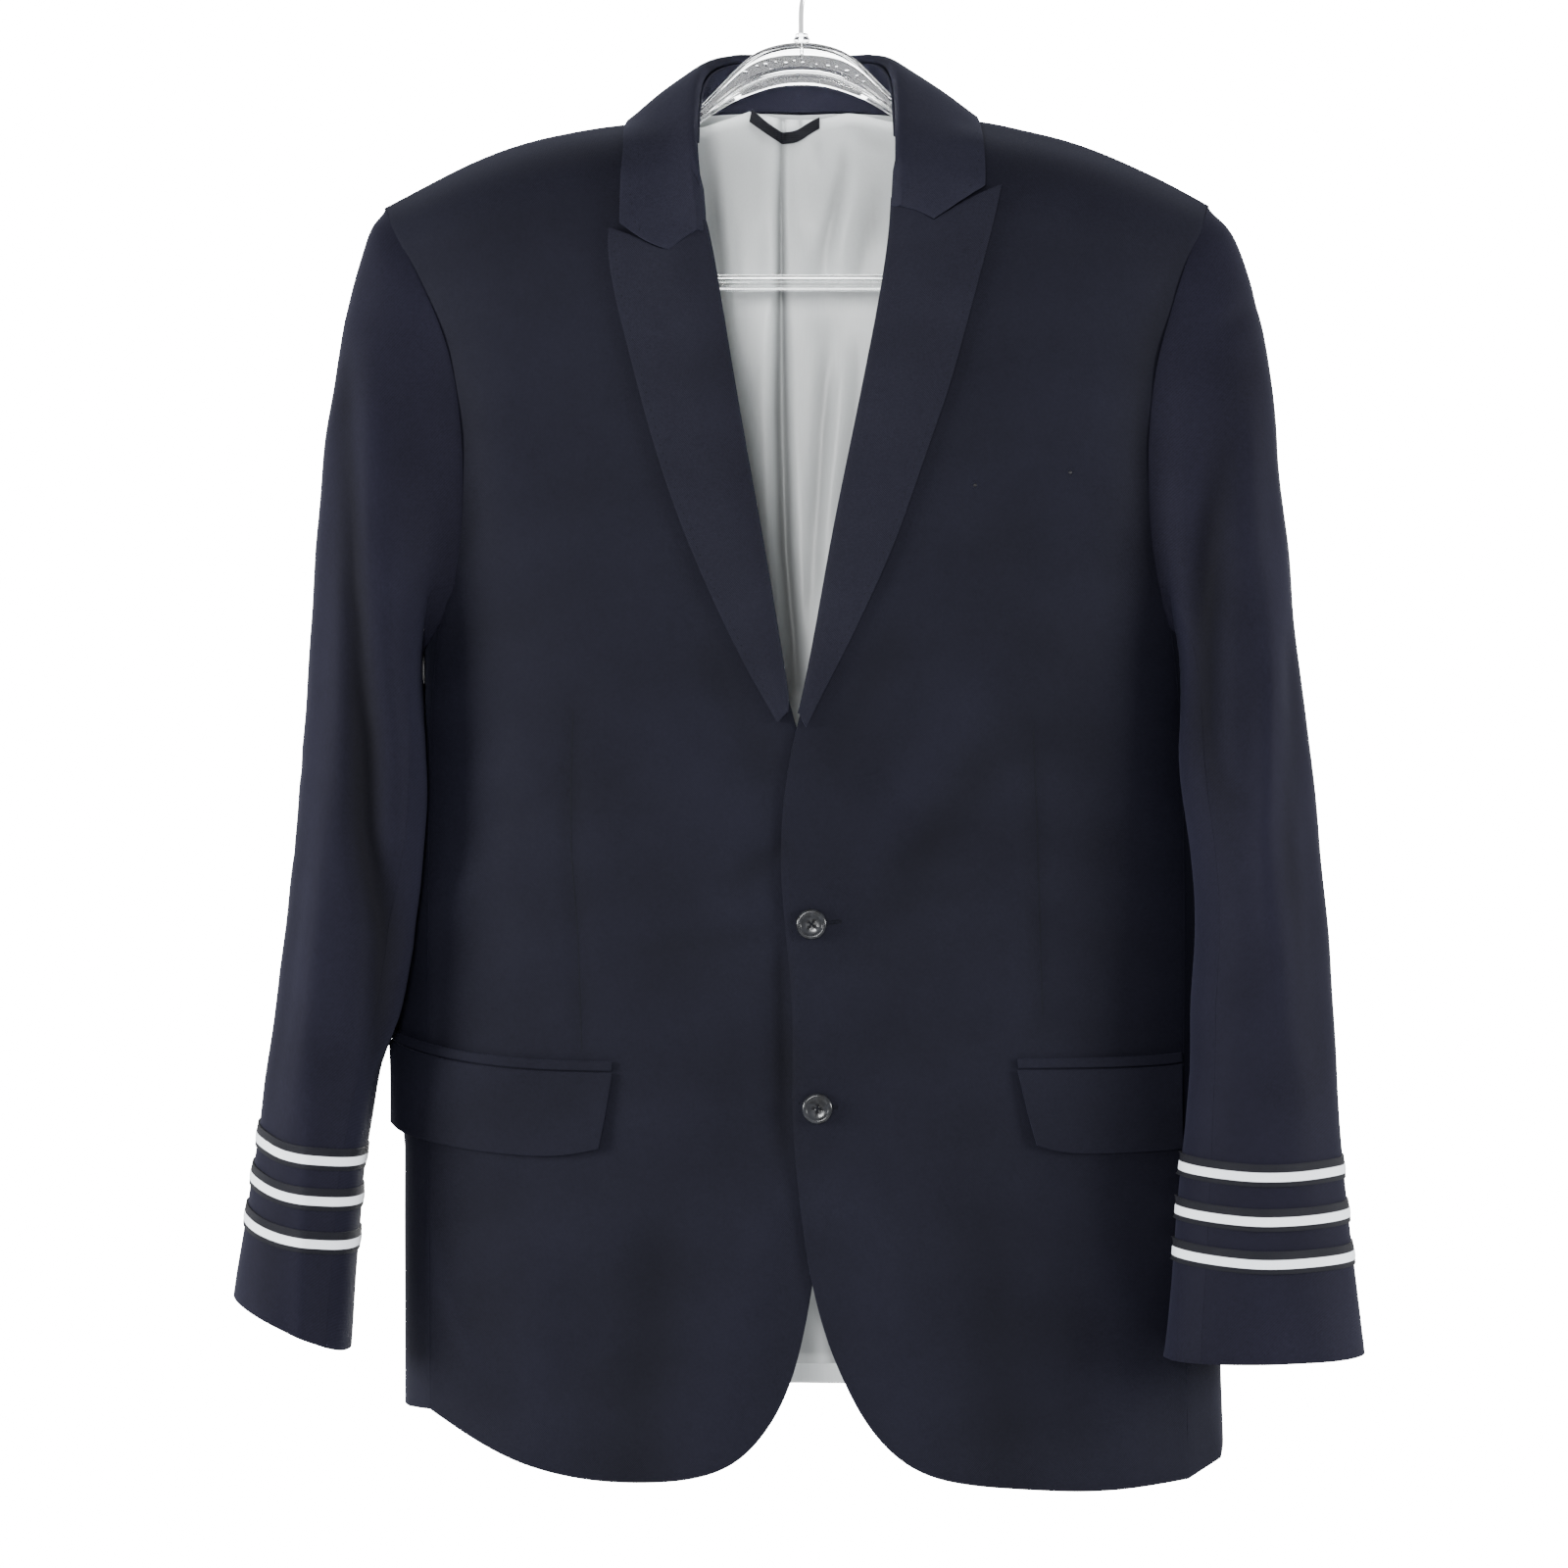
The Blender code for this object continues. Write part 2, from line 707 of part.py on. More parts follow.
def sleeve_spot(rings, place, k):
    # A point of the sleeve at a fraction between two rings.
    index = min(int(place), len(rings) - 2)
    t = place - index
    return rings[index][k] * (1 - t) + rings[index + 1][k] * t


# Pieces that lie on a panel.

def patch(corner_rows, lift, tree):
    # A grid of places on the front, set on the cloth and moved out from it.
    grid = []
    for row, heights in zip(corner_rows, lift):
        line = []
        for (u, v), height in zip(row, heights):
            line.append(lift_off(on_front(u, v), tree, height * MM, away_from_middle))
        grid.append(line)
    return grid


def lapel_grid(side, tree):
    rows = lapelLeft if side < 0 else lapelRight
    steps = len(peakRows) - 1
    count = len(rows) - 1
    top = [(p[pair(side, "leftU", "rightU")], p[pair(side, "leftV", "rightV")]) for p in peakRows]
    places = []
    heights = []
    for i, row in enumerate(rows):
        t = i / count
        line = []
        high = []
        for j in range(steps + 1):
            s = j / steps
            spot = []
            for c, (roll, edge) in enumerate((("rollU", "edgeU"), ("rollV", "edgeV"))):
                across = row[roll] * (1 - s) + row[edge] * s
                straight = rows[0][roll] * (1 - s) + rows[0][edge] * s
                fade = (1 - t) ** 6
                spot.append(across + (top[j][c] - straight) * fade)
            line.append(tuple(spot))
            puff = 2.6 * (1 - t) ** 0.5 * sin(pi * min(s * 1.5, 1)) * (1 - s * 0.4)
            if i == count:
                puff = 0
            high.append(2.9 + puff)
        places.append(line)
        heights.append(high)
    grid = patch(places, heights, tree)
    for i, row in enumerate(rows):
        # The roll turns round the cut edge of the front under it.
        roll = grid[i][0]
        f = min(1, (count - i) / 3)
        turn = roll + Vector((-side * (0.0008 + 0.0016 * f), 0.0022 * f, 0))
        start = roll + Vector((-side * (0.0004 + 0.0010 * f), 0.0004 * f, 0))
        grid[i] = [turn, start] + grid[i][1:]
    return grid


def halved(points):
    # One more point between each two, on a smooth curve.
    full = []
    last = len(points) - 1
    for i in range(last):
        before = points[max(i - 1, 0)]
        after = points[min(i + 2, last)]
        full.append(points[i])
        full.append((points[i] + points[i + 1]) * 0.5625 - (before + after) * 0.0625)
    full.append(points[-1])
    return full


def collar_grids(tree):
    folds = []
    edges = []
    for side in (-1, 1):
        half_fold = []
        half_edge = []
        for f, e in zip(foldRows, collarRows):
            u = f[pair(side, "leftU", "rightU")]
            v = f[pair(side, "leftV", "rightV")]
            half_fold.append(seen(u, v, f["depth"] * MM))
            x = e[pair(side, "leftX", "rightX")]
            z = e[pair(side, "leftZ", "rightZ")]
            half_edge.append(Vector((x, e["y"], z)) * MM)
        if side > 0:
            half_fold.reverse()
            half_edge.reverse()
            folds.extend(half_fold[1:])
            edges.extend(half_edge[1:])
        else:
            folds.extend(half_fold)
            edges.extend(half_edge)
    folds = halved(folds)
    edges = halved(edges)
    count = len(folds)
    steps = (count - 1) // 2
    rows = []
    ways = []
    for i, (fold, edge) in enumerate(zip(folds, edges)):
        near = i if i <= steps else count - 1 - i
        side = -1 if i <= steps else 1
        out = Vector((edge.x - fold.x, edge.y - fold.y, 0)).normalized()
        drop = Vector((0, 0, -1))
        if near <= 2:
            # The front end lies on the chest, so its inside faces down into the neck.
            out = Vector((side * 0.75, -0.6, 0.0)).normalized()
            drop = Vector((-side * 0.25, 0.95, -0.1)).normalized()
        ways.append(out)
        line = [fold - out * 0.0024 + drop * 0.0036, fold - out * 0.0012 + drop * 0.0008, fold + out * 0.0016]
        if near == 0:
            bends = []
            for g in gorgeRows:
                bends.append(on_front(g[pair(side, "leftU", "rightU")], g[pair(side, "leftV", "rightV")]))
            for spot in bends:
                line.append(lift_off(spot, tree, 0.0034, away_from_middle))
        else:
            for j in range(1, 4):
                s = j / 4
                bulge = 0.0030 * sin(pi * s)
                spot = fold * (1 - s) + edge * s + (out * 0.6 + Vector((0, 0, 0.8))) * bulge
                line.append(lift_off(spot, tree, 0.0034, away_from_middle))
        line.append(lift_off(edge, tree, 0.0022, away_from_middle))
        rows.append(line)
    return folds, ways, rows


def stand_grid(folds, ways, fronts, backs):
    # Stands between the neck seam and the fold of the collar.
    seam = []
    for side in (-1, 1):
        front = fronts[side]
        back = backs[side]
        line = [front[3][0], front[2][0].lerp(front[3][0], 0.35), front[2][0], front[1][0],
                front[0][0], back[0][2], back[0][2].lerp(back[0][1], 0.55), back[0][1].lerp(back[0][0], 0.35),
                back[0][0]]
        if side > 0:
            line.reverse()
            seam.extend(line[1:])
        else:
            seam.extend(line)
    seam = halved(seam)
    grid = []
    for i, (low, fold) in enumerate(zip(seam, folds)):
        into = -ways[i]
        high = fold + into * 0.0042 + Vector((0, 0.0, -0.0058))
        base = low + (high - low).normalized() * 0.0008 + into * 0.0007
        line = []
        for j in range(4):
            s = j / 3
            line.append(base * (1 - s) + high * s - into * 0.0016 * sin(pi * s))
        grid.append(line)
    return grid[5:-5]


def pocket_places(row, tree):
    side = row["side"]
    steps = 8
    flap = []
    heights = []
    lowest = row["bottomV"]
    for i in range(4):
        t = i / 3
        line = []
        high = []
        for j in range(steps + 1):
            s = j / steps
            u = row["frontU"] * (1 - t) + row["frontLow"] * t
            outer = side * (234.0 if side < 0 else 216.0)
            bent = 1 - (1 - s) ** 1.35
            u = u * (1 - bent) + outer * bent
            v = row["topV"] * (1 - t) + lowest * t + row["backSkew"] * (s ** 2.2)
            corner = max(0.0, 1 - s * 7) * t ** 3 * 5.0
            line.append((u, v + corner))
            high.append(2.4 + 1.6 * t + 3.6 * s * s)
        flap.append(line)
        heights.append(high)
    return flap, heights


def lathe(name, profile, centre, axis_turn, look, sides=24):
    mesh = bmesh.new()
    rings = []
    for radius, height in profile:
        if radius == 0:
            rings.append([mesh.verts.new((0, -height, 0))])
        else:
            ring = []
            for k in range(sides):
                angle = 2 * pi * k / sides
                ring.append(mesh.verts.new((radius * cos(angle), -height, radius * sin(angle))))
            rings.append(ring)
    for low, high in zip(rings, rings[1:]):
        for k in range(sides):
            n = (k + 1) % sides
            if len(low) == 1:
                mesh.faces.new((low[0], high[k], high[n]))
            elif len(high) == 1:
                mesh.faces.new((low[k], low[n], high[0]))
            else:
                mesh.faces.new((low[k], low[n], high[n], high[k]))
    bmesh.ops.rotate(mesh, verts=mesh.verts, cent=(0, 0, 0), matrix=axis_turn)
    bmesh.ops.translate(mesh, verts=mesh.verts, vec=centre)
    return finish(name, mesh, look)


def sweep(name, rings, look):
    mesh = bmesh.new()
    loops = [[mesh.verts.new(p) for p in ring] for ring in rings]
    count = len(loops[0])
    for low, high in zip(loops, loops[1:]):
        for k in range(count):
            n = (k + 1) % count
            mesh.faces.new((low[k], low[n], high[n], high[k]))
    mesh.faces.new(loops[0])
    mesh.faces.new(list(reversed(loops[-1])))
    return finish(name, mesh, look)


for old in list(bpy.data.objects):
    bpy.data.objects.remove(old)

wool = material("navy_wool", (0.022, 0.024, 0.042), 0.9)
collarWool = material("collar_wool", (0.021, 0.023, 0.038), 0.9)
sleeveWool = material("sleeve_wool", (0.026, 0.028, 0.050), 0.9)
satin = material("grey_lining", (0.52, 0.55, 0.57), 0.5)
silver = material("silver_braid", (0.68, 0.73, 0.78), 0.45, 0.3)
horn = material("button_resin", (0.02, 0.02, 0.023), 0.25)
tape = material("loop_tape", (0.02, 0.02, 0.025), 0.7)
clearPlastic = material("clear_plastic", (0.9, 0.93, 0.94), 0.08, 0.0, 0.9)
steel = material("hook_steel", (0.6, 0.6, 0.6), 0.2, 1.0)

# Body: two fronts, two sides and two backs share their seam points.
fronts = {}
sideGrids = {}
backs = {}
loops = {}
bodyPanels = {}
for side in (-1, 1):
    word = "right" if side < 0 else "left"
    fronts[side] = front_panel(side)
    sideGrids[side] = side_panel(side, fronts[side])
    backs[side] = back_panel(side, fronts[side], sideGrids[side])
    loops[side] = armhole(fronts[side], sideGrids[side], backs[side])
    flip = side > 0
    bodyPanels["front_" + word] = panel_of(fronts[side], flip)
    bodyPanels["side_" + word] = panel_of(sideGrids[side], flip)
    bodyPanels["back_" + word] = panel_of(backs[side], not flip)

# Outward is away from the middle of the body.
for panel in bodyPanels.values():
    i = len(panel["grid"]) // 2
    j = len(panel["grid"][0]) // 2
    if panel["normals"][i][j].dot(away_from_middle(panel["grid"][i][j])) < 0:
        panel["normals"] = [[-n for n in row] for row in panel["normals"]]
shared_normals(list(bodyPanels.values()))
bodyTree, _ = tree_of(list(bodyPanels.values()))
for name, panel in bodyPanels.items():
    if name.startswith("back"):
        for row in panel["normals"]:
            row[0] = Vector((0, row[0].y, row[0].z)).normalized()
cuts = {"front": ("top", "end"), "side": ("top", "start", "end"), "back": ("top", "start", "end")}
for name, panel in bodyPanels.items():
    pull_in(panel, cuts[name.split("_")[0]])
    wall(name, panel, CLOTH, wool)

# Pockets: a flap that hangs over its jet.
pocketPanels = []
for row in pocketRows:
    word = "right" if row["side"] < 0 else "left"
    places, heights = pocket_places(row, bodyTree)
    flap = panel_of(patch(places, heights, bodyTree))
    jetRows = []
    for k in range(2):
        line = []
        for j, (u, v) in enumerate(places[0]):
            line.append((u + row["side"] * (0.4 if k else 0.0), v + 7.2 - 5.4 * k))
        jetRows.append(line)
    jet = panel_of(patch(jetRows, [[2.1 + 0.056 * j * j for j in range(9)]] * 2, bodyTree))
    for name, panel in (("flap_" + word, flap), ("jet_" + word, jet)):
        if panel["normals"][0][2].y > 0:
            panel["normals"] = [[-n for n in r] for r in panel["normals"]]
        wall(name, panel, CLOTH if name[0] == "f" else 0.0012, wool)
        pocketPanels.append(panel)
dressedTree, _ = tree_of(list(bodyPanels.values()) + pocketPanels)

# Lapels and collar.
for side in (-1, 1):
    word = "right" if side < 0 else "left"
    lapel = panel_of(lapel_grid(side, bodyTree))
    if lapel["normals"][4][4].y > 0:
        lapel["normals"] = [[-n for n in row] for row in lapel["normals"]]
    wall("lapel_" + word, lapel, CLOTH, collarWool)

foldLine, foldWays, collarGrid = collar_grids(bodyTree)
collar = panel_of(collarGrid)
if collar["normals"][8][4].y < 0:
    collar["normals"] = [[-n for n in row] for row in collar["normals"]]
wall("collar", collar, CLOTH, collarWool)
stand = panel_of(stand_grid(foldLine, foldWays, fronts, backs))
if stand["normals"][6][1].y < 0:
    stand["normals"] = [[-n for n in row] for row in stand["normals"]]
wall("collar_stand", stand, CLOTH, collarWool)

# Sleeves: each tube is cut into a top sleeve and an under sleeve.
for side in (-1, 1):
    word = "right" if side < 0 else "left"
    rings = sleeve_rings(side, loops[side], dressedTree)
    ringPanel = panel_of(rings, closed=True)
    if ringPanel["normals"][8][0].x * side < 0:
        ringPanel["normals"] = [[-n for n in row] for row in ringPanel["normals"]]
    topColumns = [k % RING for k in range(-8, 9)]
    underColumns = list(range(8, 15))
    for name, columns in (("top_sleeve_" + word, topColumns), ("under_sleeve_" + word, underColumns)):
        piece = {
            "grid": [[row[k] for k in columns] for row in rings],
            "normals": [[row[k] for k in columns] for row in ringPanel["normals"]],
        }
        pull_in(piece, ("start", "end"), 0.0003)
        wall(name, piece, CLOTH, sleeveWool)
    row = braidRows[0] if side < 0 else braidRows[1]
    for number, column in enumerate(("first", "second", "third")):
        front = rings[-3][BRAID_COLUMN]
        place = place_at(rings, seen(0, row[column], front.y).z, BRAID_COLUMN)
        band = []
        for shift in (-0.5, 0, 0.5):
            line = []
            for k in range(RING):
                turn = cos(2 * pi * k / RING)
                rise = row["outRise"] * max(turn, 0) ** 1.5 + row["inRise"] * max(-turn, 0)
                height = sleeve_spot(rings, place, k).z + rise * MM - shift * BRAID_WIDTH
                line.append(sleeve_spot(rings, place_at(rings, height, k), k))
            band.append(line)
        bandPanel = panel_of(band, closed=True)
        if bandPanel["normals"][1][0].x * side < 0:
            bandPanel["normals"] = [[-n for n in r] for r in bandPanel["normals"]]
        lifted = []
        for shift, line, directions in zip((0, 0.0004, 0), band, bandPanel["normals"]):
            lifted.append([p + n * (0.0009 + BRAID_THICK + shift) for p, n in zip(line, directions)])
        bandPanel["grid"] = lifted
        wall(f"braid_{word}_{number + 1}", bandPanel, BRAID_THICK, silver, closed=True)

# Lining of the back, with its centre pleat.
backTree, _ = tree_of([bodyPanels["back_left"], bodyPanels["back_right"]])
liningColumns = 12
liningRows = 13
liningGrid = []
for i in range(liningRows + 1):
    t = i / liningRows
    line = []
    for j in range(liningColumns + 1):
        s = 2 * j / liningColumns - 1
        z = (-0.1135 if abs(s) < 0.3 else ridge_height(s * 0.19) - 0.004) * (1 - t) + (BACK_HEM + 0.012) * t
        wide, _ = half_sizes(s, z)
        limit = 0.19 if i < 6 else 0.205
        x = s * min(limit, wide * 0.86)
        z = min(z, ridge_height(x) - (0.016 if abs(x) > 0.045 else 0.012))
        line.append(set_inside(Vector((x, body_depth(x, z) - 0.003, z)), backTree, CLOTH + 0.0008 + max(0, z + 0.17) * 0.03))
    liningGrid.append(line)
lining = panel_of(liningGrid)
if lining["normals"][6][6].y < 0:
    lining["normals"] = [[-n for n in row] for row in lining["normals"]]
wall("lining_back", lining, LINING, satin)

# Plain tape at the back of the neck, in front of the lining.
liningTree, _ = tree_of([lining])
loopGrid = []
for drop in (0, -0.005):
    line = []
    for k in range(7):
        s = k / 6
        x = -0.0302 + 0.042 * s
        z = -0.1162 - 0.0085 * sin(pi * min(s / 0.95, 1)) + drop
        line.append(set_inside(Vector((x, body_depth(x, z) - 0.006, z)), liningTree, LINING + 0.0021))
    loopGrid.append(line)
loop = panel_of(loopGrid)
if loop["normals"][0][3].y > 0:
    loop["normals"] = [[-n for n in row] for row in loop["normals"]]
wall("neck_loop", loop, 0.001, tape)

# Buttons on the front that laps over.
half = BUTTON_DIAMETER / 2
buttonProfile = [
    (0, 0), (half * 0.80, 0), (half, 0.0012), (half, 0.0022), (half * 0.90, BUTTON_THICK),
    (half * 0.72, BUTTON_THICK), (half * 0.62, 0.0026), (0, 0.0024),
]
for number, row in enumerate(buttonRows):
    spot = on_front(row["u"], row["v"], lap_lift(1, row["u"], row["v"]) + 0.0004)
    lathe(f"button_{number + 1}", buttonProfile, spot, Vector((0, 0, 0)).to_track_quat("Z", "Y").to_matrix(), horn)

# Hanger: arched arms and the trouser bar in one clear moulding.
armRings = []
fullRows = [dict(row, x=-row["x"]) for row in reversed(hangerRows[1:])] + hangerRows
for row in fullRows:
    ring = []
    for k in range(12):
        angle = 2 * pi * k / 12
        c = cos(angle)
        s = sin(angle)
        y = row["wide"] * abs(c) ** 0.8 * (1 if c > 0 else -1)
        z = row["half"] * abs(s) ** 0.8 * (1 if s > 0 else -1)
        ring.append(Vector((row["x"], y, row["z"] + z)) * MM)
    armRings.append(ring)
hanger = sweep("hanger_body", armRings, clearPlastic)
barPath = []
for side in (-1, 1):
    legs = [(BAR_HALF, -0.158), (BAR_HALF, BAR_CENTRE + 0.014), (BAR_HALF - 0.004, BAR_CENTRE + 0.004),
            (BAR_HALF - 0.014, BAR_CENTRE)]
    points = [Vector((side * x, 0, z)) for x, z in legs]
    barPath.extend(points if side < 0 else reversed(points))
barRings = []
for i, point in enumerate(barPath):
    before = barPath[max(i - 1, 0)]
    after = barPath[min(i + 1, len(barPath) - 1)]
    along = (after - before).normalized()
    up = Vector((0, 1, 0)).cross(along)
    ring = []
    for k in range(10):
        angle = 2 * pi * k / 10
        ring.append(point + up * (BAR_HEIGHT / 2 * cos(angle)) + Vector((0, 0.004 * sin(angle), 0)))
    barRings.append(ring)
bar = sweep("bar_cutter", barRings, clearPlastic)
union = hanger.modifiers.new("bar", "BOOLEAN")
union.operation = "UNION"
union.solver = "EXACT"
union.object = bar
bar.hide_render = True
bar.display_type = "WIRE"

# Hook: a thin wire that turns over the origin.
hookCentre = -HOOK_INSIDE
radius = HOOK_INSIDE + HOOK_WIRE
hookPath = [Vector((0, 0, z)) for z in (-0.0752, -0.064, -0.053)]
hookPath.append(Vector((0.0022, 0, -0.0455)))
hookPath.append(Vector((0.0085, 0, -0.0395)))
for degrees in range(-42, 201, 22):
    hookPath.append(Vector((radius * cos(radians(degrees)), 0, hookCentre + radius * sin(radians(degrees)))))
hookRings = []
for i, point in enumerate(hookPath):
    before = hookPath[max(i - 1, 0)]
    after = hookPath[min(i + 1, len(hookPath) - 1)]
    along = (after - before).normalized()
    up = Vector((0, 1, 0)).cross(along)
    ring = []
    for k in range(10):
        angle = 2 * pi * k / 10
        ring.append(point + (up * cos(angle) + Vector((0, 1, 0)) * sin(angle)) * HOOK_WIRE)
    hookRings.append(ring)
sweep("hanger_hook", hookRings, steel)
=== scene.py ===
from itertools import product
from math import cos, exp, pi, radians, sin

import bmesh
import bpy
import numpy as np
from mathutils import Matrix, Vector
from mathutils.bvhtree import BVHTree
from mathutils.kdtree import KDTree


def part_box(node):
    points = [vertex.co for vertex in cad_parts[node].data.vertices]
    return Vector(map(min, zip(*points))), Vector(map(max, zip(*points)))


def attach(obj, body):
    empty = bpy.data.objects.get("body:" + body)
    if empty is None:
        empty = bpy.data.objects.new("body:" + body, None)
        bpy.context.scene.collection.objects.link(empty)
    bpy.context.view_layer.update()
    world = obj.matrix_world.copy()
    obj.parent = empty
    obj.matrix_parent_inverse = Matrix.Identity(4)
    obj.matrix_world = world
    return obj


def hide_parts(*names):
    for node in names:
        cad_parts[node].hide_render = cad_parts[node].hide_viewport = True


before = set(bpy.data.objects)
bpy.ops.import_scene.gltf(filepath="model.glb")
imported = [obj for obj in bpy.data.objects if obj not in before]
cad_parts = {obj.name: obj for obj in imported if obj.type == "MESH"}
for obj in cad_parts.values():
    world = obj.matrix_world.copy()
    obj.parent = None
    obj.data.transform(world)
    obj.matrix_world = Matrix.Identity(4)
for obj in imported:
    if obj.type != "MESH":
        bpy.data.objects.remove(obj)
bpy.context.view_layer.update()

mm = 0.001
eye = Vector((-0.0101, -2.270, -0.515))
buttonPlane = -0.070
print("frame loaded:", len(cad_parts), "solids")


# Materials

def addNode(nodes, kind, values=(), **settings):
    # A node with its fields set by name and its sockets set by a list of pairs.
    node = nodes.new(kind)
    for field, value in settings.items():
        setattr(node, field, value)
    for socket, value in values:
        node.inputs[socket].default_value = value
    return node


class Paint:
    # One material: its nodes and its Principled shader. Each method returns a socket to link from.
    def __init__(self, name):
        self.material = bpy.data.materials.new(name)
        self.material.use_nodes = True
        tree = self.material.node_tree
        tree.nodes.clear()
        self.nodes, self.link = tree.nodes, tree.links.new
        out = self.add("ShaderNodeOutputMaterial")
        self.shader = self.add("ShaderNodeBsdfPrincipled")
        self.link(self.shader.outputs[0], out.inputs["Surface"])

    def add(self, kind, values=(), **settings):
        return addNode(self.nodes, kind, values, **settings)

    def place(self, turn=(0, 0, 0), stretch=(1, 1, 1)):
        # Object coordinates, turned and stretched for one pattern.
        turned = self.add("ShaderNodeMapping", [("Rotation", turn), ("Scale", stretch)])
        self.link(self.add("ShaderNodeTexCoord").outputs["Object"], turned.inputs["Vector"])
        return turned.outputs["Vector"]

    def attribute(self, name):
        return self.add("ShaderNodeAttribute", attribute_name=name).outputs["Fac"]

    def noise(self, place, scale, detail, *values):
        texture = self.add("ShaderNodeTexNoise", [("Scale", scale), ("Detail", detail), *values])
        self.link(place, texture.inputs["Vector"])
        return texture.outputs["Fac"]

    def bands(self, place, scale, distortion, detail, *values):
        texture = self.add("ShaderNodeTexWave", [("Scale", scale), ("Distortion", distortion), ("Detail", detail),
                                                 *values], wave_type="BANDS", bands_direction="X")
        self.link(place, texture.inputs["Vector"])
        return texture.outputs["Fac"]

    def mix(self, share, first, second):
        mixed = self.add("ShaderNodeMix", [("Factor", share)], data_type="FLOAT")
        self.link(first, mixed.inputs[2])
        self.link(second, mixed.inputs[3])
        return mixed.outputs[0]

    def tint(self, source, dark, light):
        mixed = self.add("ShaderNodeMix", [(6, (*dark, 1)), (7, (*light, 1))], data_type="RGBA")
        self.link(source, mixed.inputs[0])
        return mixed.outputs[2]

    def ramp(self, source, *stops):
        ramp = self.add("ShaderNodeValToRGB")
        for element, (position, colour) in zip(ramp.color_ramp.elements, stops):
            element.position = position
            element.color = (*colour, 1)
        self.link(source, ramp.inputs["Fac"])
        return ramp.outputs["Color"]

    def withPaintedShade(self, colour):
        # Painted shade and painted highlight: the colour is darkened in the hollows of the folds and made paler on
        # their ridges.
        share = self.add("ShaderNodeMath", [(1, 1.0)], operation="ADD")
        self.link(self.attribute("paintedFoldShade"), share.inputs[0])
        shade = self.add("ShaderNodeMix", [(0, 1.0)], data_type="RGBA", blend_type="MULTIPLY")
        self.link(colour, shade.inputs[6])
        self.link(share.outputs[0], shade.inputs[7])
        return shade.outputs[2]

    def finish(self, colour=None, bump=None, rough=None, **dials):
        # Links what varies and sets what doesn't on the shader, and gives the material back.
        if colour:
            self.link(colour, self.shader.inputs["Base Color"])
        if bump:
            height, strength, distance = bump
            relief = self.add("ShaderNodeBump", [("Strength", strength), ("Distance", distance)])
            self.link(height, relief.inputs["Height"])
            self.link(relief.outputs["Normal"], self.shader.inputs["Normal"])
        if rough:
            source, *values = rough
            spread = self.add("ShaderNodeMapRange", values)
            self.link(source, spread.inputs["Value"])
            self.link(spread.outputs["Result"], self.shader.inputs["Roughness"])
        for dial, value in dials.items():
            self.shader.inputs[shaderSockets[dial]].default_value = value
        return self.material


shaderSockets = {
    "base": "Base Color", "roughness": "Roughness", "specular": "Specular IOR Level", "sheen": "Sheen Weight",
    "sheenRoughness": "Sheen Roughness", "sheenTint": "Sheen Tint", "coat": "Coat Weight",
    "coatRoughness": "Coat Roughness", "metallic": "Metallic", "transmission": "Transmission Weight", "ior": "IOR",
}


def clothMaterial(name, look):
    # Woven cloth: a diagonal rib, a fine speckle and a slow change of shade.
    paint = Paint(name)
    plain = paint.place()
    rib = paint.bands(paint.place((0, radians(look["ribTurn"]), 0)), look["ribScale"], 1.6, 2.0, ("Detail Scale", 2.5))
    speckle = paint.noise(plain, 620.0, 4.0, ("Roughness", 0.8))
    drift = paint.noise(plain, 14.0, 4.0, ("Roughness", 0.55))
    weave = paint.mix(0.62, rib, speckle)
    shade = paint.ramp(paint.mix(look["driftShare"], weave, drift), (0.44, look["dark"]), (0.56, look["light"]))
    return paint.finish(paint.withPaintedShade(shade), bump=(weave, look["bump"], 0.0004), sheenRoughness=0.45,
                        **{dial: look[dial] for dial in ("roughness", "specular", "sheen", "sheenTint")})


woolLook = {
    "dark": (0.0017, 0.0017, 0.0042), "light": (0.0066, 0.0068, 0.0124), "ribScale": 420.0, "ribTurn": 52,
    "driftShare": 0.30, "bump": 0.35, "roughness": 0.74, "specular": 0.07, "sheen": 0.030,
    "sheenTint": (0.50, 0.54, 0.85, 1),
}
wool = clothMaterial("navyWool", woolLook)
collarWool = clothMaterial("collarWool", {**woolLook, "ribTurn": 128, "dark": (0.0026, 0.0026, 0.0056),
                                          "light": (0.0094, 0.0096, 0.0164)})
sleeveWool = clothMaterial("sleeveWool", {**woolLook, "ribTurn": 64, "dark": (0.0020, 0.0019, 0.0048),
                                          "light": (0.0074, 0.0072, 0.0146)})
facingWool = clothMaterial("facingWool", {**woolLook, "ribTurn": 38})
tape = clothMaterial("loopTape", {**woolLook, "dark": (0.006, 0.006, 0.008), "light": (0.016, 0.0165, 0.020),
                                  "ribTurn": 90, "ribScale": 300.0, "roughness": 0.6})
thread = clothMaterial("navyThread", {**woolLook, "dark": (0.0020, 0.0022, 0.0036), "light": (0.0050, 0.0055, 0.0080),
                                      "ribScale": 900.0, "bump": 0.5})


def liningMaterial(name, look):
    # Satin: fine warp lines, a faint crosswise shade and a soft broad shine.
    paint = Paint(name)
    warp = paint.noise(paint.place(stretch=(1600, 1600, 60)), 1.0, 3.0, ("Roughness", 0.6))
    shade = paint.noise(paint.place(stretch=(1, 1, 0.35)), 22.0, 5.0, ("Roughness", 0.6))
    tone = paint.ramp(paint.mix(0.6, warp, shade), (0.3, look["dark"]), (0.7, look["light"]))
    return paint.finish(paint.withPaintedShade(tone), bump=(warp, 0.12, 0.0003), roughness=look["roughness"], specular=0.45,
                        sheen=0.10, sheenRoughness=0.35)


satin = liningMaterial("greySatin", {"dark": (0.560, 0.585, 0.590), "light": (0.660, 0.688, 0.695), "roughness": 0.42})


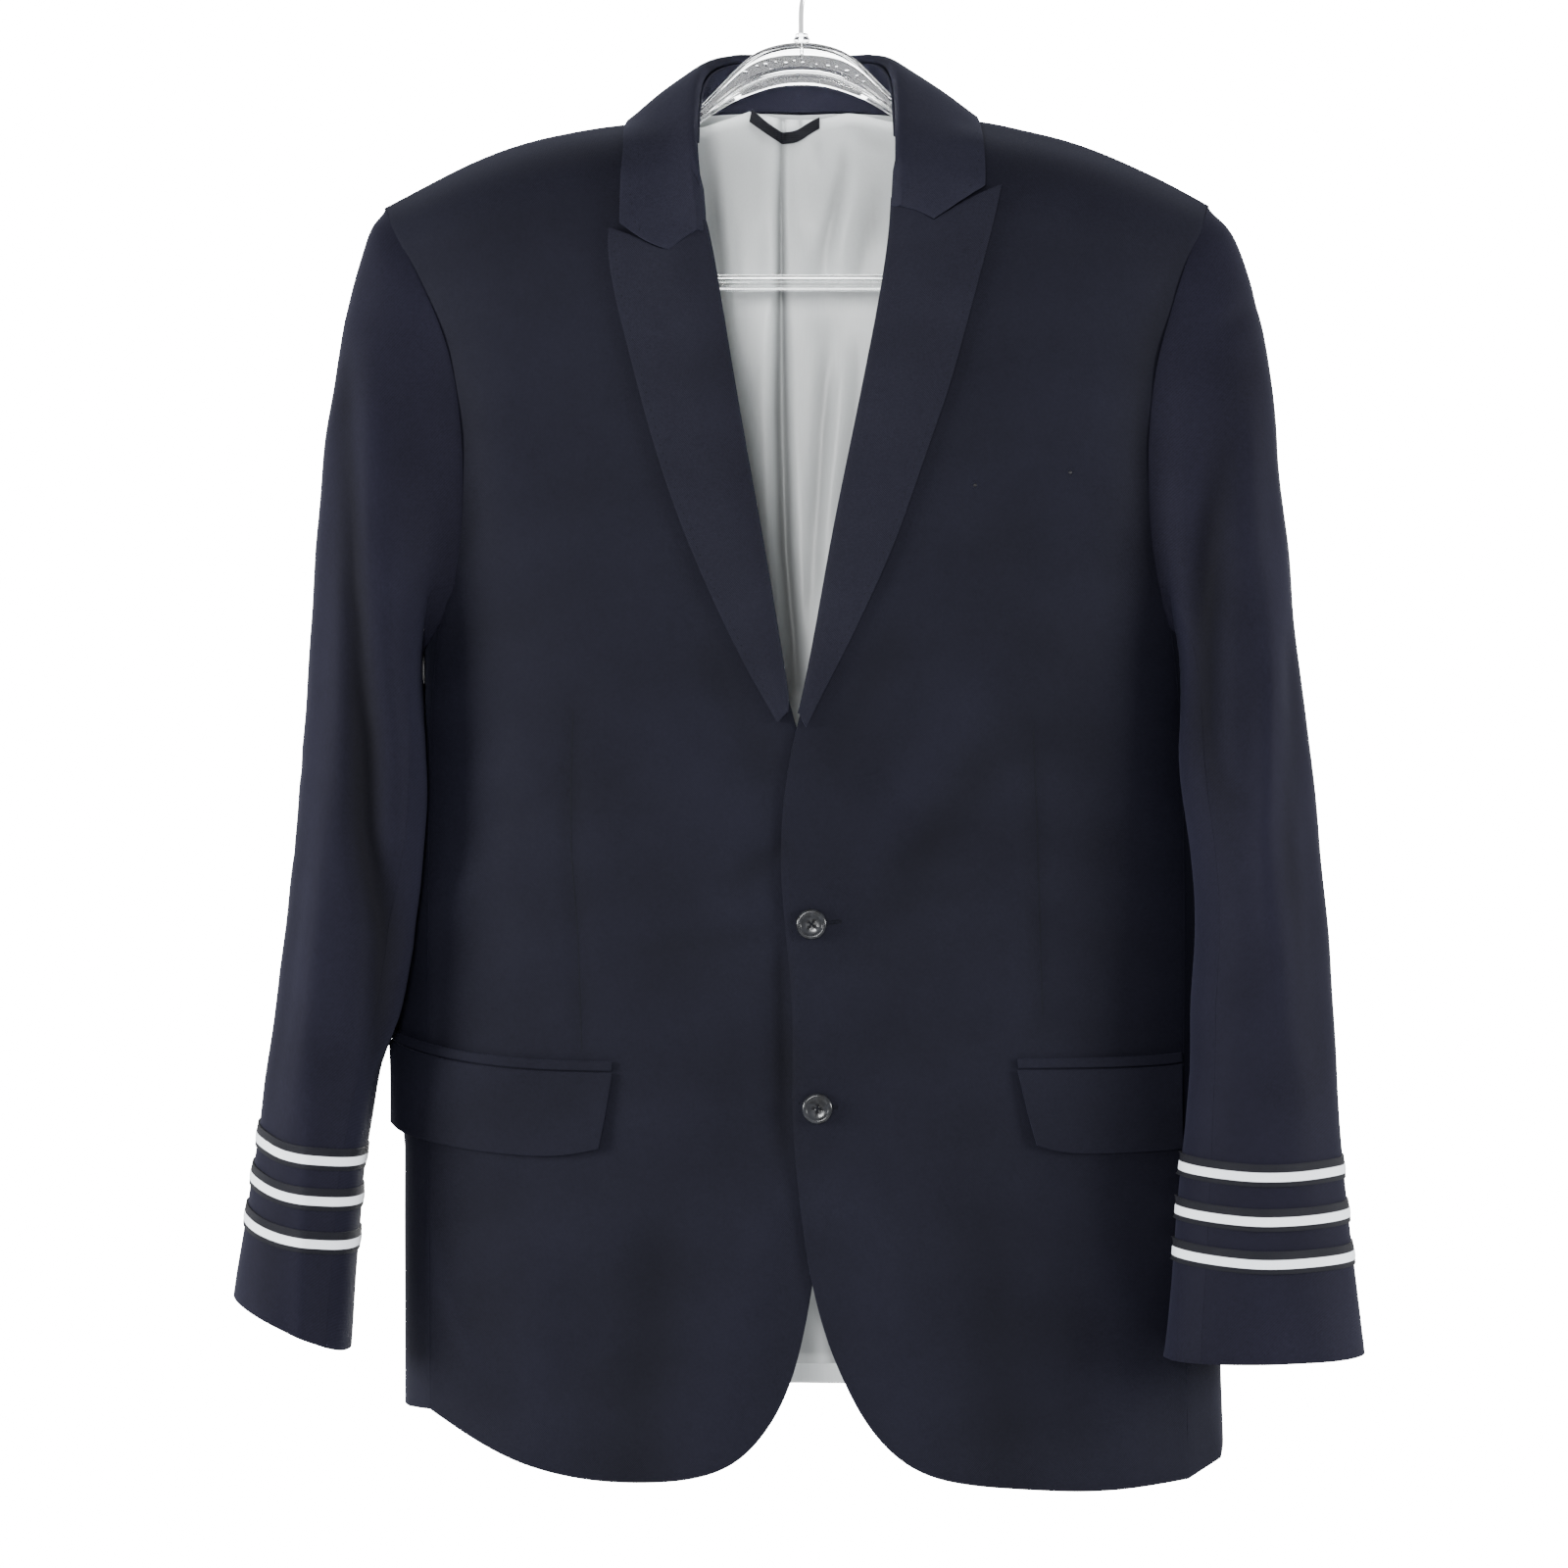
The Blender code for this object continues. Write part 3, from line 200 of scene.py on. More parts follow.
def braidMaterial(name, look):
    # Reads how far down the band a point lies: navy border, silver lace, navy border.
    paint = Paint(name)
    band = paint.add("ShaderNodeValToRGB")
    steps = band.color_ramp.elements
    band.color_ramp.interpolation = "CONSTANT"
    steps[0].color = (0, 0, 0, 1)
    steps[1].position = look["laceTop"]
    steps[1].color = (1, 1, 1, 1)
    steps.new(look["laceBottom"]).color = (0, 0, 0, 1)
    paint.link(paint.attribute("acrossBand"), band.inputs["Fac"])
    line = paint.add("ShaderNodeCombineXYZ")
    paint.link(paint.attribute("aroundBand"), line.inputs["X"])
    wires = paint.bands(line.outputs[0], 9.0, 0.4, 1.0)
    fine = paint.mix(0.5, wires, paint.noise(paint.place(), 1400.0, 2.0))
    colour = paint.add("ShaderNodeMix", data_type="RGBA")
    for socket, source in ((0, band.outputs["Color"]), (6, paint.tint(fine, look["borderDark"], look["border"])),
                           (7, paint.tint(fine, look["silverDark"], look["silver"]))):
        paint.link(source, colour.inputs[socket])
    return paint.finish(colour.outputs[2], bump=(fine, 0.5, 0.0003), roughness=0.6, specular=0.10, sheen=0.02)


braidLook = {"laceTop": 0.36, "laceBottom": 0.77, "silver": (0.80, 0.83, 0.87), "silverDark": (0.62, 0.65, 0.70),
             "border": (0.0040, 0.0043, 0.0080), "borderDark": (0.0018, 0.0020, 0.0040)}
braidCloth = braidMaterial("silverBraid", braidLook)


def resinMaterial(name, look):
    # Polished resin with a faint cloud in it and small scuffs.
    paint = Paint(name)
    place = paint.place()
    cloud = paint.noise(place, 160.0, 5.0, ("Distortion", 1.2))
    scuff = paint.noise(place, 900.0, 3.0)
    return paint.finish(paint.ramp(cloud, (0.35, look["dark"]), (0.59, look["light"])),
                        rough=(scuff, ("To Min", look["rough"] * 0.7), ("To Max", look["rough"] * 1.4)),
                        specular=0.22, coat=0.10, coatRoughness=0.12)


buttonResin = resinMaterial("buttonResin", {"dark": (0.0022, 0.0024, 0.0032), "light": (0.011, 0.012, 0.015),
                                            "rough": 0.20})
# Painted shade: a darker resin for the walls of the button holes and for the flat discs in the eyelets.
holeShade = resinMaterial("buttonHoleShade", {"dark": (0.002, 0.002, 0.003), "light": (0.006, 0.006, 0.008),
                                             "rough": 0.6})


def clearMaterial(name):
    # Clear moulding with small flow marks and handling scratches.
    paint = Paint(name)
    place = paint.place(stretch=(1, 1, 2.5))
    flow = paint.noise(place, 38.0, 2.0, ("Distortion", 0.6))
    scratch = paint.noise(place, 700.0, 2.0)
    return paint.finish(bump=(flow, 0.10, 0.0008), transmission=1.0, ior=1.49, base=(0.97, 0.985, 0.99, 1),
                        rough=(scratch, ("From Min", 0.35), ("From Max", 0.75), ("To Min", 0.01), ("To Max", 0.06)))


def steelMaterial(name):
    # Bright plated wire, drawn lengthwise.
    paint = Paint(name)
    drawn = paint.noise(paint.place(stretch=(2400, 2400, 90)), 1.0, 3.0)
    return paint.finish(paint.ramp(drawn, (0, (0.66, 0.67, 0.69)), (1, (0.82, 0.83, 0.84))), metallic=1.0,
                        rough=(drawn, ("To Min", 0.10), ("To Max", 0.24)))


clearPlastic = clearMaterial("clearPlastic")
hookSteel = steelMaterial("hookSteel")
print("materials made")


# Folds: rows of (u, v, width, depth), depth towards the viewer. Left and right in the labels below are the picture's.

frontFolds = [
    # Lower left crease
    [(-222.4, -745.3, 4, 0), (-213.9, -776.8, 4.5, 1.3), (-206.1, -806.1, 4.5, 1.5), (-193.1, -835.9, 5, 1.3),
     (-181.8, -856.7, 5, 0)],
    # Left of the upper button
    [(-46.7, -579.7, 8, 0), (-29.8, -563.4, 7, -1.3), (-10.1, -549.9, 6, -1.4), (-3.4, -547.7, 6, 0)],
    [(-43.9, -599.5, 10, 0), (-24.2, -583.7, 9, 1), (-6.8, -574.1, 8, 0.6)],  # under it
    # Right diagonal ridge
    [(27, -579.7, 10, 0), (49, -537.5, 14, 1.6), (79.9, -489.7, 16, 1.8), (125, -430.6, 18, 0)],
    # Right diagonal trough
    [(37.7, -596.6, 10, 0), (63.1, -562.9, 14, -1.4), (102.5, -509.4, 16, -1.6), (141.9, -453.1, 18, 0)],
    # Left chest diagonal
    [(-122.7, -453.1, 18, 0), (-77.7, -498.1, 20, 1.3), (-29.8, -543.1, 16, 0.9), (-15.8, -560, 12, 0)],
    # Skirt left of middle
    [(-10.1, -723.3, 12, 0), (-18.6, -768.3, 16, 1.5), (-33.8, -824.6, 20, 2), (-46.7, -897.8, 24, 1.6)],
    # Skirt right of middle
    [(23.6, -723.3, 12, 0), (34.9, -774, 16, 1.3), (51.8, -835.9, 20, 1.8), (65.9, -903.5, 22, 1.4)],
    # Skirt left trough
    [(-77.7, -740.2, 16, 0), (-84.4, -796.5, 18, -1.4), (-91.8, -852.8, 20, -1.8), (-94.6, -909.1, 22, -1.4)],
    # Skirt right trough
    [(102.5, -740.2, 16, 0), (108.1, -802.1, 18, -1.3), (114.9, -864.1, 20, -1.7), (119.4, -914.7, 22, -1.3)],
    # Skirt right ridge
    [(170, -740.2, 14, 0), (178.5, -796.5, 16, 1.4), (186.9, -852.8, 18, 1.7), (192.5, -914.7, 20, 1.3)],
    # Skirt left ridge
    [(-145.3, -740.2, 14, 0), (-149.8, -790.9, 16, 1.2), (-153.7, -841.5, 18, 1.6), (-156.5, -903.5, 20, 1.2)],
    # Left armhole
    [(-233.1, -205.4, 8, 0), (-218.4, -239.1, 9, -1.2), (-197, -301.1, 10, -1.6), (-191.4, -357.4, 11, -1.4),
     (-195.9, -408, 12, 0)],
    # Right armhole
    [(227.5, -199.7, 8, 0), (212.8, -233.5, 9, -1.2), (197, -295.4, 10, -1.6), (195.9, -357.4, 11, -1.4),
     (203.8, -408, 12, 0)],
    # Left chest
    [(-159.3, -233.5, 22, 0), (-170.6, -301.1, 26, 1.6), (-176.2, -368.6, 26, 1.4), (-179, -436.2, 22, 0)],
    [(161.6, -233.5, 22, 0), (170, -301.1, 26, 1.6), (172.8, -368.6, 26, 1.4), (175.7, -436.2, 22, 0)],  # right chest
    # Left dart
    [(-130.1, -458.7, 5, 0), (-132.3, -503.7, 6, -0.9), (-132.9, -553.3, 6, -1), (-128.4, -602.8, 6, -1),
     (-126.1, -672.6, 6, -0.6)],
    # Right dart
    [(133.4, -470, 5, 0), (134.6, -509.4, 6, -0.9), (135.7, -554.4, 6, -1), (137.9, -616.3, 6, -0.9),
     (138.5, -655.8, 6, -0.5)],
    # Left waist pull
    [(-122.7, -619.2, 8, 0), (-77.7, -607.9, 9, -0.9), (-27, -599.5, 8, -0.9), (-7.3, -597.2, 6, 0)],
    # Right waist pull
    [(22.5, -592.7, 7, 0), (51.8, -585.4, 9, -0.8), (94, -574.1, 10, -0.7), (127.8, -562.9, 9, 0)],
    [(-215.1, -318, 3, 0), (-207.2, -320.2, 3, -0.9), (-195.9, -323.6, 3, 0)],  # left armhole wrinkle
    # Left side drape
    [(-195.9, -424.9, 14, 0), (-200.4, -492.5, 16, 1.2), (-202.7, -571.3, 16, 1.3), (-204.4, -655.8, 14, 0)],
    # Right side drape
    [(201, -424.9, 14, 0), (198.2, -492.5, 16, 1), (199.3, -571.3, 16, 1.2), (202.7, -655.8, 14, 0)],
    # Beside the lap
    [(-11.3, -593.8, 5, 0), (-11.8, -622, 6, -1.6), (-10.7, -672.6, 7, -2.2), (-10.1, -712, 7, -1.4),
     (-9, -751.5, 6, 0)],
    # Under left lapel
    [(-66.4, -402.4, 12, 0), (-46.7, -453.1, 12, -1.2), (-27, -492.5, 12, -1.2), (-15.8, -520.6, 10, 0)],
    # Under right lapel
    [(63.1, -402.4, 12, 0), (43.4, -447.4, 12, -1.1), (23.6, -481.2, 12, -1.1), (11.3, -515, 10, 0)],
]
rightSleeveFolds = [
    # Long trough
    [(-262.4, -250.4, 6, 0), (-262.4, -289.8, 7, -3), (-259, -402.4, 8, -5.5), (-252.2, -486.9, 9, -7.5),
     (-251.1, -543.1, 9, -8), (-244.3, -599.5, 8, -6.5), (-245.5, -672.6, 7, -4.5), (-250, -717.7, 6, 0)],
    # Inner ridge
    [(-251.1, -250.4, 9, 0), (-247.7, -289.8, 10, 2), (-236.5, -402.4, 11, 3), (-230.8, -486.9, 10, 3),
     (-234.2, -543.1, 8, 2.2), (-229.7, -588.2, 7, 0)],
    # Outer ridge
    [(-270.2, -301.1, 7, 0), (-274.7, -379.9, 8, 2), (-279.2, -492.5, 8, 2.6), (-281.5, -593.8, 9, 2.8),
     (-288.3, -683.9, 9, 2.2), (-291.6, -728.9, 8, 0)],
    [(-279.2, -661.4, 6, 0), (-283.8, -717.7, 6, 1.4), (-286.6, -774, 6, 2), (-288.3, -837, 6, 2.2)],  # cuff crease
    [(-300.1, -683.9, 8, 0), (-302.9, -740.2, 9, -1.4), (-307.4, -807.8, 10, -1.6)],  # cuff outer hollow
    [(-296.1, -498.1, 5, 0), (-280.4, -509.4, 6, -1.2), (-264.6, -515, 5, 0)],  # elbow wrinkle
    [(-298.4, -548.8, 5, 0), (-281.5, -561.2, 6, -1.1), (-263.5, -565.7, 5, 0)],  # elbow wrinkle below
    [(-301.8, -627.6, 5, 0), (-286, -641.1, 6, -1), (-266.3, -644.5, 5, 0)],  # forearm wrinkle
]
leftSleeveFolds = [
    # Outer ridge
    [(277, -329.2, 8, 0), (273.6, -402.4, 8, 2.8), (268, -481.2, 7, 4), (265.7, -543.1, 6.5, 4.4),
     (271.4, -605.1, 8, 2.6), (278.1, -678.3, 8, 0)],
    # Trough
    [(250, -289.8, 9, 0), (237.6, -357.4, 10, -4), (233.6, -413.7, 10, -6.5), (232.5, -481.2, 9, -5.5),
     (241, -526.3, 9, -2), (252.2, -582.6, 9, 0)],
    # Inner ridge
    [(232, -233.5, 10, 0), (219.6, -323.6, 10, 2), (218.4, -413.7, 9, 2.6), (220.7, -481.2, 9, 2.2),
     (229.7, -560, 12, 1.6), (232, -672.6, 10, 0)],
    # Outer trough
    [(281.5, -379.9, 6, 0), (282.6, -458.7, 6, -1.6), (280.4, -543.1, 6, -2.4), (286, -605.1, 7, -1.6),
     (293.9, -672.6, 7, 0)],
    [(269.1, -231.2, 6, 0), (250, -248.1, 7, -1.4), (229.7, -262.8, 6, 0)],  # head wrinkle
    [(233.1, -503.7, 6, 0), (250, -521.8, 6, -1.3), (268, -528.5, 5, 0)],  # elbow wrinkle
    [(230.8, -622, 6, 0), (254.5, -637.7, 7, -1.1), (282.6, -641.1, 6, 0)],  # forearm wrinkle
    [(265.7, -728.9, 10, 0), (266.9, -779.6, 12, 1), (269.1, -843.8, 12, 1.2)],  # cuff soft
]
liningFolds = [
    # Pleat
    [(-10.7, -133.3, 1.8, -3), (-11.8, -177.2, 1.9, -5), (-11.8, -227.9, 2.4, -6), (-11.8, -301.1, 4.2, -7),
     (-9.6, -379.9, 5, -6), (-3.4, -458.7, 6, -4)],
    # Pleat edge
    [(-14.6, -134.4, 5, 1.2), (-16.3, -177.2, 5, 2), (-18, -227.9, 6, 2.2), (-20.3, -301.1, 7, 2.4),
     (-18.6, -379.9, 7, 2.2), (-10.1, -458.7, 7, 2)],
    # Left fold
    [(-54, -149.1, 4, 0), (-50.7, -177.2, 4, -2.4), (-47.3, -216.6, 4, -3.2), (-42.8, -267.3, 5, -2.6),
     (-37.2, -329.2, 6, -2), (-28.1, -396.8, 6, 0)],
    # Left fold edge
    [(-45, -154.7, 5, 0), (-42.8, -199.7, 5, 1.8), (-38.3, -250.4, 6, 1.8), (-31.5, -318, 7, 1.4),
     (-23.6, -379.9, 7, 0)],
    [(-27, -149.1, 8, 0), (-28.1, -199.7, 9, 1.2), (-27, -256, 9, 1.4), (-23.6, -323.6, 8, 0)],  # left broad
    [(-37.2, -250.4, 4, 0), (-32.7, -301.1, 5, -1.8), (-25.9, -357.4, 5, -2.2), (-19.1, -424.9, 6, 0)],  # left lower
    # Right crease
    [(21.4, -149.1, 3, 0), (23.6, -163.7, 3.5, -1.8), (19.1, -185.1, 4, -2.4), (13.5, -212.1, 5, -1.4),
     (11.3, -233.5, 5, 0)],
    # Right crease beside
    [(28.1, -154.7, 4, 0), (30.4, -174.9, 5, 1.6), (24.8, -199.7, 5, 1.8), (19.1, -227.9, 6, 1),
     (16.9, -250.4, 6, 0)],
    # Right upper diagonal
    [(21.4, -137.8, 3, 0), (33.8, -146.8, 4, -1.8), (43.9, -154.7, 4, -1), (50.7, -159.2, 4, 0)],
    [(4.5, -141.2, 3, 0), (9, -150.2, 3, -1.4), (7.9, -160.3, 3, 0)],  # right small
    [(43.9, -171.6, 4, 0), (40.5, -194.1, 5, -2), (34.9, -216.6, 5, -1.6), (30.4, -239.1, 5, 0)],  # right edge fold
    [(28.1, -244.8, 6, 0), (24.8, -289.8, 7, 1.8), (18, -340.5, 7, 1.8), (10.1, -396.8, 6, 0)],  # right lower ridge
    # Right lower trough
    [(15.8, -250.4, 5, 0), (13.5, -295.4, 5, -2), (10.1, -346.1, 5, -2.4), (5.6, -402.4, 5, -1.6),
     (1.1, -447.4, 5, 0)],
    # Right lower trough outer
    [(34.9, -256, 5, 0), (30.4, -301.1, 5, -1.8), (23.6, -346.1, 5, -2), (15.8, -391.1, 5, 0)],
    [(4.5, -813.4, 4, 0), (11.3, -830.3, 5, 2), (13.5, -852.8, 5, 1.5)],  # low swag left
    [(15.8, -824.6, 4, 0), (19.1, -841.5, 4, -1.8), (18, -858.4, 4, 0)],  # low swag right
]
backFolds = [
    [(-115, -215, 26, 0), (-112, -300, 30, 2.2), (-105, -400, 30, 1.6), (-100, -470, 26, 0)],  # left blade
    [(118, -210, 26, 0), (114, -295, 30, 2.0), (106, -395, 30, 1.7), (98, -465, 26, 0)],  # right blade
    # Under the collar
    [(-62, -168, 8, 0), (-30, -184, 9, -1.1), (0, -190, 9, -1.3), (34, -183, 9, -1.0), (66, -166, 8, 0)],
    [(-176, -400, 12, 0), (-158, -490, 15, -2.2), (-128, -590, 16, -1.6), (-110, -660, 14, 0)],  # left waist
    [(182, -395, 12, 0), (160, -485, 15, -2.0), (133, -585, 16, -1.8), (112, -655, 14, 0)],  # right waist
    [(-58, -640, 16, 0), (-62, -740, 20, 2.0), (-70, -860, 22, 2.4), (-76, -900, 22, 2.2)],  # left skirt ridge
    [(66, -650, 16, 0), (72, -750, 20, 1.8), (80, -850, 22, 2.3), (84, -900, 22, 2.0)],  # right skirt ridge
    [(-150, -660, 14, 0), (-158, -760, 18, -1.8), (-164, -880, 20, -2.0)],  # left skirt hollow
    [(158, -650, 14, 0), (164, -770, 18, -1.6), (170, -880, 20, -2.1)],  # right skirt hollow
    [(-206, -300, 10, 0), (-190, -340, 12, -1.8), (-168, -392, 12, -1.2), (-150, -430, 10, 0)],  # behind the left arm
    [(210, -305, 10, 0), (193, -350, 12, -1.6), (172, -398, 12, -1.3), (156, -440, 10, 0)],  # behind the right arm
]
sleeveBackFolds = {
    "left": [
        [(262, -330, 9, 0), (268, -430, 11, 1.8), (280, -540, 11, 1.6), (288, -640, 10, 0)],  # outer ridge
        [(246, -480, 7, 0), (262, -560, 8, -1.8), (278, -585, 7, -1.2), (292, -590, 6, 0)],  # elbow crease
        [(252, -560, 6, 0), (268, -615, 8, -1.5), (290, -640, 7, 0)],  # lower elbow crease
    ],
    "right": [
        [(-256, -340, 9, 0), (-264, -440, 11, 1.7), (-276, -550, 11, 1.5), (-286, -650, 10, 0)],  # outer ridge
        [(-240, -490, 7, 0), (-258, -556, 8, -1.7), (-276, -578, 7, -1.3), (-290, -580, 6, 0)],  # elbow crease
        [(-250, -566, 6, 0), (-270, -622, 8, -1.4), (-292, -650, 7, 0)],  # lower elbow crease
    ],
}


def sightPlaces(places):
    # Where points fall on the plane of the buttons, seen from the camera, in millimetres.
    along = (buttonPlane - eye.y) / (places[:, 1] - eye.y)
    u = (eye.x + (places[:, 0] - eye.x) * along) / mm
    v = (eye.z + (places[:, 2] - eye.z) * along) / mm
    return np.stack([u, v], 1)


def foldField(flat, folds):
    # Sum of the folds at each place: the nearest stretch of a fold gives its width and depth.
    total = np.zeros(len(flat))
    for rows in folds:
        nearest = np.full(len(flat), 1e9)
        depth = np.zeros(len(flat))
        for first, last in zip(rows, rows[1:]):
            a = np.array(first[:2])
            run = np.array(last[:2]) - a
            t = np.clip(((flat - a) @ run) / (run @ run), 0, 1)
            away = np.linalg.norm(flat - a - t[:, None] * run, axis=1)
            wide = first[2] + (last[2] - first[2]) * t
            deep = first[3] + (last[3] - first[3]) * t
            nearer = away / wide < nearest
            nearest = np.where(nearer, away / wide, nearest)
            depth = np.where(nearer, deep, depth)
        total += depth * np.exp(-np.minimum(nearest, 6) ** 2)
    return total * mm


# Strength of the painted shade in the hollows and of the painted highlight on the ridges.
paintedShadeStrength = {"hollow": 0.62, "ridge": 0.30}


def paintShade(piece, fold, deepest):
    # Keeps how deep the folds lie at each point, as painted shade in the hollows and painted highlight on the ridges
    # of the cloth's colour.
    shade = np.clip(fold / (deepest * mm), -1, 1)
    shade *= np.where(shade < 0, paintedShadeStrength["hollow"], paintedShadeStrength["ridge"])
    kept = piece.data.attributes.new("paintedFoldShade", "FLOAT", "POINT")
    kept.data.foreach_set("value", shade.astype(np.float32))


def uneven(places, size, seed):
    # Slow unevenness of cloth: a few crossing waves of odd lengths.
    total = np.zeros(len(places))
    for i in range(5):
        turn = seed * 1.7 + i * 2.4
        way = np.array([cos(turn), sin(turn * 1.3), 0.7 * sin(turn) + 0.35])
        wave = 2 * pi / (size * (0.7 + 0.23 * i))
        total += np.sin(places @ way * wave + seed * 3.1 + i * 1.9) / (1 + 0.5 * i)
    return total / 2.4


# Finer copies of the solids

def getAll(things, field):
    flat = np.empty(len(things) * 3)
    things.foreach_get(field, flat)
    return flat.reshape(-1, 3)


def getPlaces(mesh):
    return getAll(mesh.vertices, "co")


def setPlaces(mesh, places):
    mesh.vertices.foreach_set("co", places.astype(np.float32).ravel())
    mesh.update()


rimMark = 7
wallEdge = {"spread": 0.0007, "highest": 0.0026, "creaseTurn": 55, "cornerTurn": 32}


def mergedCopy(node, spread=wallEdge["spread"]):
    # The solid as quads, its rims and corners kept sharp, and its cut edge let out to meet the next piece.
    bm = bmesh.new()
    bm.from_mesh(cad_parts[node].data)
    bmesh.ops.remove_doubles(bm, verts=bm.verts, dist=0.00002)
    bmesh.ops.join_triangles(bm, faces=bm.faces, angle_face_threshold=radians(40),
                             angle_shape_threshold=radians(60))
    crease = bm.edges.layers.float.new("crease_edge")
    corner = bm.verts.layers.float.new("crease_vert")
    for edge in bm.edges:
        if len(edge.link_faces) == 2 and edge.calc_face_angle() > radians(wallEdge["creaseTurn"]):
            edge[crease] = 1.0
    for vert in bm.verts:
        lines = sorted((edge for edge in vert.link_edges if edge[crease] > 0), key=lambda edge: -edge.calc_length())
        if len(lines) > 2:
            vert[corner] = 1.0
        elif len(lines) == 2:
            ends = [edge.other_vert(vert).co - vert.co for edge in lines]
            if ends[0].angle(-ends[1], 0) > radians(wallEdge["cornerTurn"]):
                vert[corner] = 1.0
    moves = {}
    for face in bm.faces:
        short = min(edge.calc_length() for edge in face.edges)
        if short < wallEdge["highest"] and sum(edge[crease] > 0 for edge in face.edges) >= 2:
            face.material_index = rimMark
            for vert in face.verts:
                moves.setdefault(vert, Vector())
                moves[vert] += face.normal
    for vert, way in moves.items():
        if spread and way.length > 0:
            vert.co += way.normalized() * spread
    return bm


def toMesh(name, bm):
    mesh = bpy.data.meshes.new(name)
    bm.to_mesh(mesh)
    bm.free()
    return mesh


def linked(name, data):
    made = bpy.data.objects.new(name, data)
    bpy.context.scene.collection.objects.link(made)
    return made


def worked(piece):
    # The mesh that its modifiers, or its curve, give.
    return bpy.data.meshes.new_from_object(piece.evaluated_get(bpy.context.evaluated_depsgraph_get()))


def addCells(piece, levels):
    cells = piece.modifiers.new("cells", "SUBSURF")
    cells.levels = cells.render_levels = levels


def finePiece(name, bm, levels):
    # Smooth cells worked out once, so folds can be laid on real points.
    rough = toMesh(name, bm)
    piece = linked(name, rough)
    addCells(piece, levels)
    fine = worked(piece)
    piece.modifiers.clear()
    piece.data = fine
    bpy.data.meshes.remove(rough)
    fine.name = name
    fine.polygons.foreach_set("use_smooth", np.ones(len(fine.polygons), bool))
    return piece


def softenRims(piece, width, turn=50):
    # Rolls the cut edges of a wall.
    rim = piece.modifiers.new("rolledEdge", "BEVEL")
    rim.width = width
    rim.segments = 2
    rim.limit_method = "ANGLE"
    rim.angle_limit = radians(turn)


turnedIn = {"width": 0.009, "side": 0.15, "hem": -0.85, "shoulder": -0.22}
sideRoom = {"left": [(-0.73, 0), (-0.70, 5.5), (-0.655, 13.5), (-0.61, 4.5), (-0.50, 2.0), (-0.42, 1.5), (-0.38, 0)],
            "right": [(-0.70, 0), (-0.66, 2.0), (-0.60, 2.0), (-0.50, 1.8), (-0.42, 1.0), (-0.38, 0)]}
sleeveLean = {"right": [(-0.68, 0), (-0.65, 4.5), (-0.61, 7.5), (-0.57, 5.6), (-0.50, 3.2), (-0.43, 2.6), (-0.38, 1.6),
                        (-0.34, 0)],
              "left": [(-0.68, 0), (-0.64, 2.0), (-0.60, 3.0), (-0.52, 3.0), (-0.45, 2.0), (-0.38, 1.4), (-0.34, 0)]}
gorgeCorners = {"places": [(-57.0, -195.5), (55.5, -181.5)], "reach": 7.0, "lift": 0.0035}


def levelWay(x, y):
    # Level directions of length one.
    way = np.stack([x, y, np.zeros(len(x))], 1)
    return way / np.maximum(np.linalg.norm(way, axis=1), 1e-6)[:, None]


def bodyWay(places):
    # Outwards from the middle of the trunk.
    return levelWay(places[:, 0] * 0.25, places[:, 1] + 0.002)


def sleeveMiddle(side):
    # Middle line of a sleeve by height, from both of its pieces.
    points = np.concatenate([getPlaces(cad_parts[f"{kind}_sleeve_{side}"].data) for kind in ("top", "under")])
    heights = np.arange(-0.86, -0.18, 0.02)
    middles = []
    for height in heights:
        near = points[np.abs(points[:, 2] - height) < 0.03]
        middles.append(((near[:, 0].min() + near[:, 0].max()) / 2, (near[:, 1].min() + near[:, 1].max()) / 2))
    return heights, np.array(middles)


def sleeveWay(places, middle):
    # Outwards from the middle line of a sleeve.
    heights, middles = middle
    x, y = (np.interp(places[:, 2], heights, middles[:, i]) for i in (0, 1))
    return levelWay(places[:, 0] - x, places[:, 1] - y)


def markInside(mesh, way):
    # Faces that look inwards take the second material, but what is turned in at the corners keeps the first.
    normals = getAll(mesh.polygons, "normal")
    centres = getAll(mesh.polygons, "center")
    marks = np.empty(len(mesh.polygons), np.int32)
    mesh.polygons.foreach_get("material_index", marks)
    inward = (normals * way(centres)).sum(1) < -0.25
    rims = np.flatnonzero(marks == rimMark)
    tree = KDTree(len(rims))
    for i, face in enumerate(rims):
        tree.insert(mesh.polygons[face].center, i)
    tree.balance()
    inward &= marks != rimMark
    for face in np.flatnonzero(inward):
        centre = mesh.polygons[face].center
        corner = abs(centre.x) > turnedIn["side"] and not turnedIn["hem"] < centre.z < turnedIn["shoulder"]
        inward[face] = not corner or tree.find(centre)[2] > turnedIn["width"]
    mesh.polygons.foreach_set("material_index", inward.astype(np.int32))


def sideMoves(places):
    # The trunk is fuller beside the sleeves, and most just above the pockets.
    back = np.clip((places[:, 1] + 0.030) / 0.04, 0, 1)
    wide = np.clip((np.abs(places[:, 0]) - 0.13) / 0.07, 0, 1)
    left = np.interp(places[:, 2], *zip(*sideRoom["left"]))
    right = np.interp(places[:, 2], *zip(*sideRoom["right"]))
    result = np.zeros_like(places)
    result[:, 0] = np.where(places[:, 0] < 0, -left, right) * mm * back * wide
    return result


def cornerMoves(places):
    # Lifts a lapel, or drops a collar where it is taken away, to close the gorge at the roll line.
    flat = sightPlaces(places)
    result = np.zeros_like(places)
    for u, v in gorgeCorners["places"]:
        away = np.hypot(flat[:, 0] - u, flat[:, 1] - v)
        result[:, 2] += gorgeCorners["lift"] * np.exp(-(away / gorgeCorners["reach"]) ** 2)
    return result


def frontMoves(places):
    # How the fronts' folds move a point: only the front half, straight towards the viewer.
    share = np.clip((0.012 - places[:, 1]) / 0.03, 0, 1)
    move = (foldField(sightPlaces(places), frontFolds) + uneven(places, 0.085, 1.0) * 0.0006) * share
    result = np.zeros_like(places)
    result[:, 1] = -move
    return result


